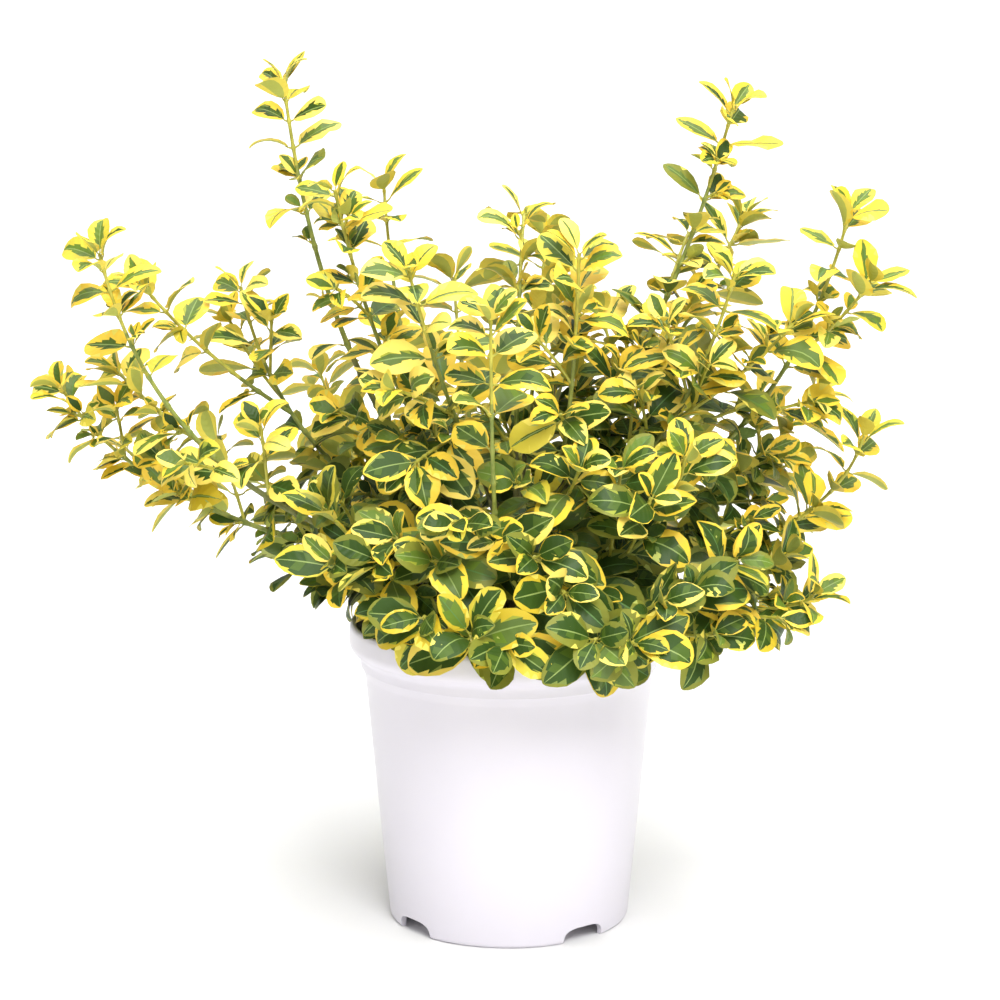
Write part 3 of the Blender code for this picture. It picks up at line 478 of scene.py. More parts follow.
class Mesh:
    """Corners and faces that are gathered as arrays and made into one object."""

    def __init__(self) -> None:
        """Start empty."""
        self.points: list[np.ndarray] = []
        self.faces: list[np.ndarray] = []
        self.slots: list[np.ndarray] = []
        self.maps: list[np.ndarray] = []
        self.count = 0

    def add(
        self,
        points: np.ndarray,
        faces: Iterable[np.ndarray],
        slots: Iterable[np.ndarray] | None = None,
        uv: np.ndarray | None = None,
    ) -> None:
        """Add corners, and faces that count from the first of them.

        Args:
            points: Corners, as rows.
            faces: Arrays of faces, each with as many columns as its faces have corners.
            slots: For each of those arrays, the material slot of each face.
            uv: A place on the surface map for each corner.
        """
        faces = list(faces)
        slots = [np.zeros(len(f), np.int32) for f in faces] if slots is None else list(slots)
        self.points.append(points.reshape(-1, 3))
        for face, slot in zip(faces, slots):
            self.faces.append(face + self.count)
            self.slots.append(slot)
        rows = len(self.points[-1])
        self.maps.append(np.zeros((rows, 2)) if uv is None else uv.reshape(-1, 2))
        self.count += rows

    def make(
        self,
        name: str,
        materials: Iterable[bpy.types.Material],
        uv_name: str | None = None,
        sharp_deg: float | None = 50.0,
    ) -> bpy.types.Object:
        """Make the object, shaded smooth, with its place in its mesh.

        Args:
            name: The object's name.
            materials: Its material slots, in order.
            uv_name: The name of its surface map, if it has one.
            sharp_deg: The angle past which an edge is sharp.

        Returns:
            The object, linked to the scene.
        """
        mesh = bpy.data.meshes.new(name)
        points = np.concatenate(self.points)
        corners = np.concatenate([f.ravel() for f in self.faces]).astype(np.int32)
        sizes = np.concatenate([np.full(len(f), f.shape[1], np.int32) for f in self.faces])
        starts = np.concatenate([[0], np.cumsum(sizes)[:-1]]).astype(np.int32)
        mesh.vertices.add(len(points))
        mesh.vertices.foreach_set("co", points.astype(np.float32).ravel())
        mesh.loops.add(len(corners))
        mesh.loops.foreach_set("vertex_index", corners)
        mesh.polygons.add(len(sizes))
        mesh.polygons.foreach_set("loop_start", starts)
        mesh.polygons.foreach_set("material_index", np.concatenate(self.slots).astype(np.int32))
        mesh.update(calc_edges=True)
        if uv_name is not None:
            layer = mesh.uv_layers.new(name=uv_name)
            layer.data.foreach_set("uv", np.concatenate(self.maps)[corners].astype(np.float32).ravel())
        mesh.shade_smooth()
        if sharp_deg is not None:
            mesh.set_sharp_from_angle(angle=math.radians(sharp_deg))
        for material in materials:
            mesh.materials.append(material)
        obj = bpy.data.objects.new(name, mesh)
        bpy.context.scene.collection.objects.link(obj)
        return obj


def settle(obj: bpy.types.Object, nodes: Iterable[str]) -> bpy.types.Object:
    """Let a piece ride on the plant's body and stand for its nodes."""
    nodes = list(nodes)
    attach(obj, BODY)
    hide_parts(*nodes)
    triangles = sum(len(p.vertices) - 2 for p in obj.data.polygons)
    log.info("%s: %d triangles, stands for %d nodes", obj.name, triangles, len(nodes))
    return obj


def ring_faces(rings: int, sides: int) -> np.ndarray:
    """Quads between rings of corners that run counterclockwise as the ring number grows."""
    ring, side = np.meshgrid(np.arange(rings - 1), np.arange(sides), indexing="ij")
    here, after = ring * sides, (side + 1) % sides
    quads = [here + side, here + after, here + sides + after, here + sides + side]
    return np.stack(quads, axis=-1).reshape(-1, 4)


def repeated(faces: np.ndarray, size: int, count: int) -> np.ndarray:
    """One shape's faces, again for each of many like shapes that have a size in corners."""
    step = size * np.arange(count)[:, None, None]
    return (faces[None] + step).reshape(-1, faces.shape[1])


def cap_faces(rings: int, sides: int) -> np.ndarray:
    """Triangles round the two poles, whose corners follow those of all the rings."""
    side = np.arange(sides)
    after = (side + 1) % sides
    pole = np.full(sides, rings * sides)
    last = (rings - 1) * sides
    first_fan = np.stack([pole, after, side], axis=-1)
    return np.concatenate([first_fan, np.stack([pole + 1, last + side, last + after], axis=-1)])


def tube(path: np.ndarray, radii: np.ndarray, sides: int) -> tuple[np.ndarray, list[np.ndarray]]:
    """A closed tube with a pole at each end.

    Each ring is centre + r (cos a X + sin a Y), where X and Y are square to the path.

    Args:
        path: Points of the centreline, as rows.
        radii: The radius at each point, or an array of rings by sides.
        sides: Corners in each ring.

    Returns:
        The corners, and the quads and end triangles.
    """
    forward = unit(np.gradient(path, axis=0))
    x_axis = np.empty_like(path)
    x_axis[0] = unit(np.cross(forward[0], ASKEW))
    for i in range(1, len(path)):
        x_axis[i] = unit(x_axis[i - 1] - forward[i] * (x_axis[i - 1] @ forward[i]))
    y_axis = np.cross(forward, x_axis)
    angle = np.arange(sides) * math.tau / sides
    spokes = np.cos(angle)[None, :, None] * x_axis[:, None] + np.sin(angle)[None, :, None] * y_axis[:, None]
    radii = np.asarray(radii)
    radii = radii[:, None] if radii.ndim == 1 else radii
    rings = path[:, None] + radii[..., None] * spokes
    points = np.concatenate([rings.reshape(-1, 3), path[:1], path[-1:]])
    return points, [ring_faces(len(path), sides), cap_faces(len(path), sides)]


def lathe(profile: np.ndarray, steps: int) -> tuple[np.ndarray, list[np.ndarray]]:
    """A profile from the axis up its outer side and back to the axis, turned about Z.

    Each corner is (r cos a, r sin a, z). The first and last points lie on the axis and are poles.

    Args:
        profile: Points of (radius, height), which run from the lower pole up the outside to the upper pole.
        steps: Corners in each ring.

    Returns:
        The corners, and the quads and pole triangles, which face outwards.
    """
    angle = np.arange(steps) * math.tau / steps
    radius, height = profile[1:-1, 0], profile[1:-1, 1]
    level = np.repeat(height[:, None], steps, axis=1)
    rings = np.stack([radius[:, None] * np.cos(angle), radius[:, None] * np.sin(angle), level], axis=-1)
    poles = [[0.0, 0.0, profile[0, 1]], [0.0, 0.0, profile[-1, 1]]]
    points = np.concatenate([rings.reshape(-1, 3), poles])
    return points, [ring_faces(len(radius), steps), cap_faces(len(radius), steps)]


def arc(centre: Pair, radii: Pair, start: float, end: float, count: int) -> list:
    """Points of an elliptic arc in a profile, from one angle in degrees to another."""
    angles = np.radians(np.linspace(start, end, count))
    return [(centre[0] + radii[0] * math.cos(a), centre[1] + radii[1] * math.sin(a)) for a in angles]


def line(start: Pair, end: Pair, count: int) -> list:
    """Points of a straight stretch of a profile, without its first point."""
    shares = np.linspace(0.0, 1.0, count + 1)[1:]
    return [tuple(np.array(start) * (1 - s) + np.array(end) * s) for s in shares]


@dataclass
class NurseryPot:
    """The moulded pot: rolled lip, skirt, tapering wall, raised groove and notches in its foot."""

    height: float = 0.157
    lip_radius: float = 0.0826
    lip_edge_inset: float = 0.0021
    lip_edge_radii: Pair = (0.0018, 0.0035)
    lip_bulge_height: float = 0.148
    lip_bulge_radii: Pair = (0.0050, 0.0065)
    lip_inside: tuple[Pair, ...] = ((-0.0034, -0.0008), (-0.0038, -0.0020))
    bulge_inside: tuple[Pair, ...] = ((-0.0020, 0.0030), (-0.0006, 0.0), (-0.0022, -0.0048))
    skirt_radius: float = 0.0766
    skirt_flare: float = 0.0002
    skirt_top: float = 0.1385
    skirt_bottom: float = 0.1342
    skirt_edge_radii: Pair = (0.0006, 0.0008)
    skirt_undercut: float = 0.0002
    skirt_step: float = 0.0004
    body_top_radius: float = 0.0742
    body_top: float = 0.1290
    foot_radius: float = 0.0624
    foot_corner: float = 0.0025
    foot_ring_width: float = 0.0008
    wall: float = 0.0012
    floor_thickness: float = 0.0014
    groove_height: float = 0.0085
    groove_inner_radius: float = 0.0455
    groove_slope: float = 0.0020
    notch_half_width: float = 0.0125
    notch_height: float = 0.0080
    notch_depth: float = 0.014
    notch_azimuth_deg: float = -52.0
    notch_count: int = 4
    notch_squareness: float = 3.2
    drain_radius: float = 0.0028
    drain_ring_radius: float = 0.0535
    drain_count: int = 4
    drain_depth: float = 0.010
    steps: int = 224
    sharp_deg: float = 32.0

    def outer_profile(self) -> list:
        """The outer side from the foot up to the top of the lip, with small rounds at each change."""
        corner = self.foot_corner
        foot = arc((self.foot_radius - corner, corner), (corner, corner), -90, 0, 7)
        body_top = (self.body_top_radius, self.body_top)
        body = line((self.foot_radius, corner), body_top, 10)
        edge = self.skirt_edge_radii[0]
        under_skirt = line(body_top, (self.skirt_radius - edge, self.skirt_bottom - self.skirt_undercut), 3)
        skirt = arc((self.skirt_radius - edge, self.skirt_bottom + edge), self.skirt_edge_radii, -70, 0, 4)
        skirt += [(self.skirt_radius + self.skirt_flare, self.skirt_top)]
        bulge_centre = (self.lip_radius - self.lip_bulge_radii[0], self.lip_bulge_height)
        bulge = arc(bulge_centre, self.lip_bulge_radii, -75, 0, 8)
        edge_centre = (self.lip_radius - self.lip_edge_inset, self.height - self.lip_edge_radii[1])
        lip = arc(edge_centre, self.lip_edge_radii, 0, 90, 7)
        return foot + body + under_skirt + skirt + bulge + lip

    def inner_profile(self) -> list:
        """The inner side from the lip down to the groove, a wall's thickness in."""
        inset = self.wall
        slope = (self.body_top_radius - self.foot_radius) / (self.body_top - self.foot_corner)
        low = self.groove_height + self.wall
        lip = [(self.lip_radius + r, self.height + z) for r, z in self.lip_inside]
        bulge = [(self.lip_radius - inset + r, self.lip_bulge_height + z) for r, z in self.bulge_inside]
        wall = [
            (self.skirt_radius - inset, self.skirt_top),
            (self.skirt_radius - inset - self.skirt_step, self.skirt_bottom),
            (self.body_top_radius - inset, self.body_top),
            (self.body_top_radius - slope * (self.body_top - low) - inset, low),
        ]
        return lip + bulge + wall

    def profile(self) -> np.ndarray:
        """The closed profile from the pole under the floor, round the wall, to the pole on the floor."""
        ring_inner = self.foot_radius - self.foot_corner - self.foot_ring_width
        groove_top = self.groove_height + self.wall
        under = [
            (0.0, 0.0),
            (self.groove_inner_radius, 0.0),
            (self.groove_inner_radius + self.groove_slope, self.groove_height),
            (ring_inner, self.groove_height),
            (ring_inner, 0.0),
        ]
        floor = [
            (self.groove_inner_radius - self.wall + self.groove_slope, groove_top),
            (self.groove_inner_radius - self.wall, self.floor_thickness),
            (0.0, self.floor_thickness),
        ]
        return np.array(under + self.outer_profile() + self.inner_profile() + floor)

    def cutter(self, matrix: Matrix, half_width: float, height: float, depth: float) -> bpy.types.Object:
        """A plug with a superellipse section, |y/w|^n + |z/h|^n = 1, laid along local X."""
        count = 48
        angle = np.arange(count) * math.tau / count
        power = 2.0 / self.notch_squareness
        width = half_width * np.sign(np.cos(angle)) * np.abs(np.cos(angle)) ** power
        rise = height * np.sign(np.sin(angle)) * np.abs(np.sin(angle)) ** power
        ends = [np.stack([np.full(count, x), width, rise], axis=-1) for x in (-depth / 2, depth / 2)]
        rings = np.concatenate(ends)
        points = np.concatenate([rings, [[-depth / 2, 0.0, 0.0], [depth / 2, 0.0, 0.0]]])
        shape = Mesh()
        shape.add(points, [ring_faces(2, count), cap_faces(2, count)])
        obj = shape.make("cutter", [], None, None)
        obj.data.transform(matrix)
        return obj

    def cutters(self) -> list[bpy.types.Object]:
        """The plugs that cut the notches and the drain holes."""
        made = []
        for i in range(self.notch_count):
            azimuth = math.radians(self.notch_azimuth_deg - 90.0) + i * math.tau / self.notch_count
            matrix = Matrix.Rotation(azimuth, 4, "Z") @ Matrix.Translation((self.foot_radius, 0.0, 0.0))
            made.append(self.cutter(matrix, self.notch_half_width, self.notch_height, self.notch_depth))
        for i in range(self.drain_count):
            azimuth = (i + 0.5) * math.tau / self.drain_count
            place = Matrix.Translation((self.drain_ring_radius, 0.0, self.groove_height))
            upright = Matrix.Rotation(math.pi / 2, 4, "Y")
            matrix = Matrix.Rotation(azimuth, 4, "Z") @ place @ upright
            made.append(self.cutter(matrix, self.drain_radius, self.drain_radius, self.drain_depth))
        return made

    def build(self) -> bpy.types.Object:
        """Turn the profile, cut the notches and drains, and dress the pot."""
        shape = Mesh()
        points, faces = lathe(self.profile(), self.steps)
        shape.add(points, faces)
        pot = shape.make("nursery_pot", [PlasticFinish().make()], None, None)
        tools = self.cutters()
        for tool in tools:
            cut = pot.modifiers.new(tool.name, "BOOLEAN")
            cut.operation = "DIFFERENCE"
            cut.solver = "EXACT"
            cut.object = tool
        bpy.context.view_layer.update()
        evaluated = pot.evaluated_get(bpy.context.evaluated_depsgraph_get())
        mesh = bpy.data.meshes.new_from_object(evaluated)
        pot.modifiers.clear()
        pot.data = mesh
        for tool in tools:
            bpy.data.objects.remove(tool, do_unlink=True)
        mesh.shade_smooth()
        mesh.set_sharp_from_angle(angle=math.radians(self.sharp_deg))
        return settle(pot, ["pot"])


@dataclass
class PottingMix:
    """The bark mix: a lumpy surface inside the pot, with loose chips and grains of perlite."""

    crown: float = 0.1465
    edge: float = 0.1425
    shoulder: float = 0.1435
    flat_radius: float = 0.012
    shoulder_radius: float = 0.060
    radius: float = 0.0748
    floor: float = 0.0100
    floor_radius: float = 0.0614
    side_top: Pair = (0.0736, 0.125)
    lumps: float = 0.0011 / 3.4
    lump_sink: float = 0.0004
    lump_waves: tuple[float, ...] = (
        0.030, 0.021, 0.014, 0.010, 0.0075, 0.0058, 0.0046, 0.0037, 0.0031, 0.0026, 0.0022, 0.0019,
    )
    wall_fade: float = 0.004
    rings: int = 44
    steps: int = 150
    chip_count: int = 760
    chip_length: Pair = (0.0035, 0.0125)
    grain_count: int = 90
    seed: int = 7

    def height(self, radius: np.ndarray) -> np.ndarray:
        """Height of the even surface by radius, in three straight stretches."""
        stations = [0.0, self.flat_radius, self.shoulder_radius, self.radius]
        return np.interp(radius, stations, [self.crown, self.crown, self.shoulder, self.edge])

    def lump(self, x: np.ndarray, y: np.ndarray) -> np.ndarray:
        """Unevenness: a sum of plane waves with seeded directions and phases."""
        rng = np.random.default_rng(self.seed)
        total = np.zeros_like(x)
        for wave in self.lump_waves:
            turn, phase = rng.uniform(0, math.tau, 2)
            total += np.sin((x * math.cos(turn) + y * math.sin(turn)) * math.tau / wave + phase)
        return total * self.lumps

    def surface(self, x: np.ndarray, y: np.ndarray) -> np.ndarray:
        """Height of the lumpy surface, which fades to the even one at the pot's wall."""
        radius = np.hypot(x, y)
        fade = 1.0 - smoothstep(self.radius - self.wall_fade, self.radius, radius)
        return self.height(radius) + (self.lump(x, y) - self.lump_sink) * fade

    def scattered(self, rng: Generator, count: int, inset: float, nearest: float) -> np.ndarray:
        """Places on the surface, spread evenly over its area past a nearest share of it."""
        radius = (self.radius - inset) * np.sqrt(rng.uniform(nearest, 1.0, count))
        angle = rng.uniform(0, math.tau, count)
        x, y = radius * np.cos(angle), radius * np.sin(angle)
        return np.stack([x, y, self.surface(x, y)], axis=-1)

    def body(self) -> bpy.types.Object:
        """The filling: its lumpy top, its side against the wall and its flat bottom."""
        top = [(self.radius * s, 0.0) for s in np.linspace(1.0, 0.0, self.rings)]
        side = [(0.0, self.floor), (self.floor_radius, self.floor), self.side_top]
        points, faces = lathe(np.array(side + top), self.steps)
        first = 2 * self.steps
        last = len(points) - 2
        x, y = points[first:last, 0], points[first:last, 1]
        points[first:last, 2] = self.surface(x, y)
        points[-1, 2] = self.surface(np.zeros(1), np.zeros(1))[0]
        shape = Mesh()
        shape.add(points, faces)
        tones = (linear(44, 30, 20), linear(92, 66, 42), linear(132, 102, 68))
        return shape.make("potting_mix_body", [MixFinish("peat_and_bark", tones).make()])

    def chips(self) -> bpy.types.Object:
        """Loose chips: boxes whose corners are moved, turned at random and laid on the surface."""
        rng = np.random.default_rng(self.seed + 1)
        count = self.chip_count
        cube = np.array([[x, y, z] for x in (-1, 1) for y in (-1, 1) for z in (-1, 1)], float)
        length = rng.uniform(*self.chip_length, count) * 0.5
        width = length * rng.uniform(0.3, 0.7, count)
        size = np.stack([length, width, length * rng.uniform(0.12, 0.3, count)], axis=-1)
        corners = cube[None] * size[:, None] * rng.uniform(0.62, 1.0, (count, 8, 3))
        turn = rng.uniform(0, math.tau, count)
        pitch = rng.normal(0.0, 0.30, count)
        roll = rng.normal(0.0, 0.35, count)
        corners = rotate(corners, turn, pitch, roll)
        place = self.scattered(rng, count, 0.006, 0.012)
        place[:, 2] += size[:, 2] * 0.5
        quads = [[0, 1, 3, 2], [4, 6, 7, 5], [0, 4, 5, 1], [2, 3, 7, 6], [0, 2, 6, 4], [1, 5, 7, 3]]
        faces = repeated(np.array(quads), len(cube), count)
        slots = np.repeat(rng.integers(0, 3, count), 6)
        shape = Mesh()
        shape.add((corners + place[:, None]).reshape(-1, 3), [faces], [slots])
        brown = MixFinish("brown_bark_chip", (linear(70, 46, 30), linear(112, 78, 50)), 420.0, 0.85).make()
        tan = MixFinish("tan_bark_chip", (linear(128, 98, 66), linear(172, 142, 100)), 420.0, 0.85).make()
        dark = MixFinish("dark_bark_chip", (linear(38, 27, 20), linear(66, 48, 34)), 420.0, 0.9).make()
        return shape.make("bark_chips", [brown, tan, dark], None, 20.0)

    def perlite(self) -> bpy.types.Object:
        """Pale grains: octahedra with uneven radii."""
        rng = np.random.default_rng(self.seed + 2)
        count = self.grain_count
        axes = np.array([[1, 0, 0], [0, 1, 0], [-1, 0, 0], [0, -1, 0], [0, 0, 1], [0, 0, -1]], float)
        corners = axes[None] * rng.uniform(0.0009, 0.0019, (count, 6, 1))
        place = self.scattered(rng, count, 0.005, 0.02)
        place[:, 2] += 0.0006
        fan = [[4, i, (i + 1) % 4] for i in range(4)] + [[5, (i + 1) % 4, i] for i in range(4)]
        faces = repeated(np.array(fan), len(axes), count)
        shape = Mesh()
        shape.add((corners + place[:, None]).reshape(-1, 3), [faces])
        pale = MixFinish("perlite", (linear(196, 190, 176), linear(226, 222, 212)), 900.0, 0.9).make()
        return shape.make("perlite_grains", [pale], None, 30.0)

    def build(self) -> list[bpy.types.Object]:
        """Make and dress the filling, its chips and its grains."""
        made = [self.body(), self.chips(), self.perlite()]
        return [settle(piece, ["potting_mix"]) for piece in made]


def rotate(corners: np.ndarray, turn: np.ndarray, pitch: np.ndarray, roll: np.ndarray) -> np.ndarray:
    """Turn each shape's corners: roll about X, then pitch about Y, then turn about Z."""
    x, y, z = corners[..., 0], corners[..., 1], corners[..., 2]
    cos_r, sin_r = np.cos(roll)[:, None], np.sin(roll)[:, None]
    y, z = y * cos_r - z * sin_r, y * sin_r + z * cos_r
    cos_p, sin_p = np.cos(pitch)[:, None], np.sin(pitch)[:, None]
    x, z = x * cos_p + z * sin_p, z * cos_p - x * sin_p
    cos_t, sin_t = np.cos(turn)[:, None], np.sin(turn)[:, None]
    return np.stack([x * cos_t - y * sin_t, x * sin_t + y * cos_t, z], axis=-1)


@dataclass(frozen=True)
class Axis:
    """A limb's curve: its points and the distance along it at each."""

    points: np.ndarray
    spacing: np.ndarray

    @property
    def length(self) -> float:
        """The whole length of the curve."""
        return float(self.spacing[-1])

    def at(self, distance: "float | np.ndarray") -> np.ndarray:
        """The point, or points, at a distance along the curve."""
        return np.stack([np.interp(distance, self.spacing, self.points[:, i]) for i in range(3)], axis=-1)

    def spaced(self, start: float, spacing: float) -> np.ndarray:
        """Even distances from a start to the tip, about a spacing apart."""
        return np.linspace(start, self.length, max(3, int((self.length - start) / spacing)))

    def growth(self, distance: float) -> np.ndarray:
        """Unit direction of growth at a distance along the curve."""
        ahead = self.at(min(distance + 0.002, self.length))
        behind = self.at(max(distance - 0.002, 0.0))
        return unit(ahead - behind)


def swept(start: np.ndarray, end: np.ndarray, sweep: float) -> Axis:
    """A quadratic curve (1-t)^2 A + 2t(1-t) B + t^2 C, whose middle point B is set by the sweep."""
    share = np.array([0.5 + sweep, 0.5 + sweep, 0.5 - sweep])
    pull = start + share * (end - start)
    t = np.linspace(0.0, 1.0, 49)[:, None]
    points = (1 - t) ** 2 * start + 2 * t * (1 - t) * pull + t**2 * end
    steps = np.linalg.norm(np.diff(points, axis=0), axis=1)
    return Axis(points, np.concatenate([[0.0], np.cumsum(steps)]))


def across(direction: np.ndarray) -> tuple[np.ndarray, np.ndarray]:
    """Two unit vectors square to a direction, the first of them level."""
    side = np.cross(direction, (0.0, 0.0, 1.0))
    if np.linalg.norm(side) < 0.05:
        side = np.array([1.0, 0.0, 0.0])
    side = unit(side)
    return side, np.cross(side, direction)


@dataclass
class WoodyStem:
    """The short woody stem in the potting mix, with its flare, lean and bark."""

    foot: float = 0.1468
    height: float = 0.066
    flare_radius: float = 0.0085
    radius: float = 0.0052
    top_radius: float = 0.0038
    flare_height: float = 0.009
    lean: Pair = (0.0030, -0.0020)
    seat_low: float = 0.0135
    seat_high: float = 0.0635
    gap: float = 0.0003
    seat_depth: float = 0.12
    bark_depth: float = 0.05
    top_round: float = 0.003
    sides: int = 56
    rings: int = 130

    def centre(self, height: float) -> np.ndarray:
        """Centre of the stem at a height above the potting mix."""
        share = (height / self.height) ** 2
        return np.array([self.lean[0] * share, self.lean[1] * share, self.foot + height])

    def radius_at(self, height: np.ndarray) -> np.ndarray:
        """Radius: an even taper, plus a flare that falls off as exp(-3 h / flare height)."""
        height = np.asarray(height)
        flare = (self.flare_radius - self.radius) * np.exp(-3.0 * height / self.flare_height)
        return self.radius + (self.top_radius - self.radius) * height / self.height + flare

    def build(self) -> bpy.types.Object:
        """A tube whose radius has long ridges and cracks of bark, and a rounded top."""
        heights = np.linspace(0.0, self.height, self.rings)
        path = np.array([self.centre(h) for h in heights])
        angle = np.arange(self.sides) * math.tau / self.sides
        turn, rise = angle[None], heights[:, None]
        ridges = 0.35 * np.sin(7 * turn + 40 * rise) + 0.25 * np.sin(13 * turn - 90 * rise + 1.3)
        cracks = 0.25 * np.sin(23 * turn + 210 * rise + 2 * np.sin(500 * rise))
        radii = self.radius_at(heights)[:, None] * (1.0 + self.bark_depth * (ridges + cracks))
        close = np.sqrt(np.clip((self.height - heights) / self.top_round, 0.05, 1.0))
        points, faces = tube(path, radii * close[:, None], self.sides)
        shape = Mesh()
        shape.add(points, faces)
        finish = BarkFinish("woody_bark", linear(74, 66, 40), linear(138, 128, 86), 0.85, 420.0, 0.0008)
        return settle(shape.make("woody_stem", [finish.make()]), ["main_stem"])


@dataclass(frozen=True)
class Twig:
    """A leafy stem: its key for random draws, curve, bare length, leaf scale and owner's number."""

    key: tuple[int, ...]
    axis: Axis
    bare: float
    scale: float
    owner: int
    rosette: bool = False


class Leaf(NamedTuple):
    """One leaf: where it leaves its stem, its two directions, length, node number and owner's number."""

    root: np.ndarray
    along: np.ndarray
    normal: np.ndarray
    length: float
    node: int
    owner: int


@dataclass
class Limbs:
    """Points along every limb, by owner, for asking how near a place is to limbs."""

    twigs: list[list[Twig]]
    spacing: float = 0.002
    own: list[KDTree] = field(default_factory=list)
    others: list[KDTree] = field(default_factory=list)

    def __post_init__(self) -> None:
        """Fill one tree with each owner's limbs and one with everyone else's."""
        clouds = [self.cloud(twigs) for twigs in self.twigs]
        for owner, cloud in enumerate(clouds):
            rest = np.concatenate([c for i, c in enumerate(clouds) if i != owner])
            self.own.append(self.tree(cloud))
            self.others.append(self.tree(rest))

    def cloud(self, twigs: list[Twig]) -> np.ndarray:
        """Evenly spaced points along some twigs."""
        return np.concatenate([twig.axis.at(twig.axis.spaced(0.0, self.spacing)) for twig in twigs])

    @staticmethod
    def tree(points: np.ndarray) -> KDTree:
        """A balanced tree of points."""
        made = KDTree(len(points))
        for i, point in enumerate(points.tolist()):
            made.insert(point, i)
        made.balance()
        return made

    def distances(self, owner: int, points: np.ndarray) -> tuple[np.ndarray, np.ndarray]:
        """Distance of each point from the owner's limbs and from everyone else's."""
        rows = points.tolist()
        own = np.array([self.own[owner].find(p)[2] for p in rows])
        others = np.array([self.others[owner].find(p)[2] for p in rows])
        return own, others


def pierced(corners: np.ndarray, normals: np.ndarray, edges: np.ndarray) -> np.ndarray:
    """Whether any edge of one four-sided outline passes through another, for each pair.

    The crossing point with the outline's plane is start + s (end - start), where s is the share of the
    edge on its near side, and it counts where it lies on the inner side of all four edges.

    Args:
        corners: Outlines that may be pierced, pairs by 4 by 3.
        normals: Their normals, pairs by 3.
        edges: Outlines whose edges may pierce them, pairs by 4 by 3.

    Returns:
        One truth value a pair.
    """
    ends = np.roll(edges, -1, axis=1)
    before = ((edges - corners[:, :1]) * normals[:, None]).sum(-1)
    after = ((ends - corners[:, :1]) * normals[:, None]).sum(-1)
    inside = before * after < 0.0
    share = before / np.where(inside, before - after, 1.0)
    hit = edges + share[..., None] * (ends - edges)
    for i in range(4):
        inward = np.cross(normals, corners[:, (i + 1) % 4] - corners[:, i])
        inside &= ((hit - corners[:, i : i + 1]) * inward[:, None]).sum(-1) > 0.0
    return inside.any(-1)


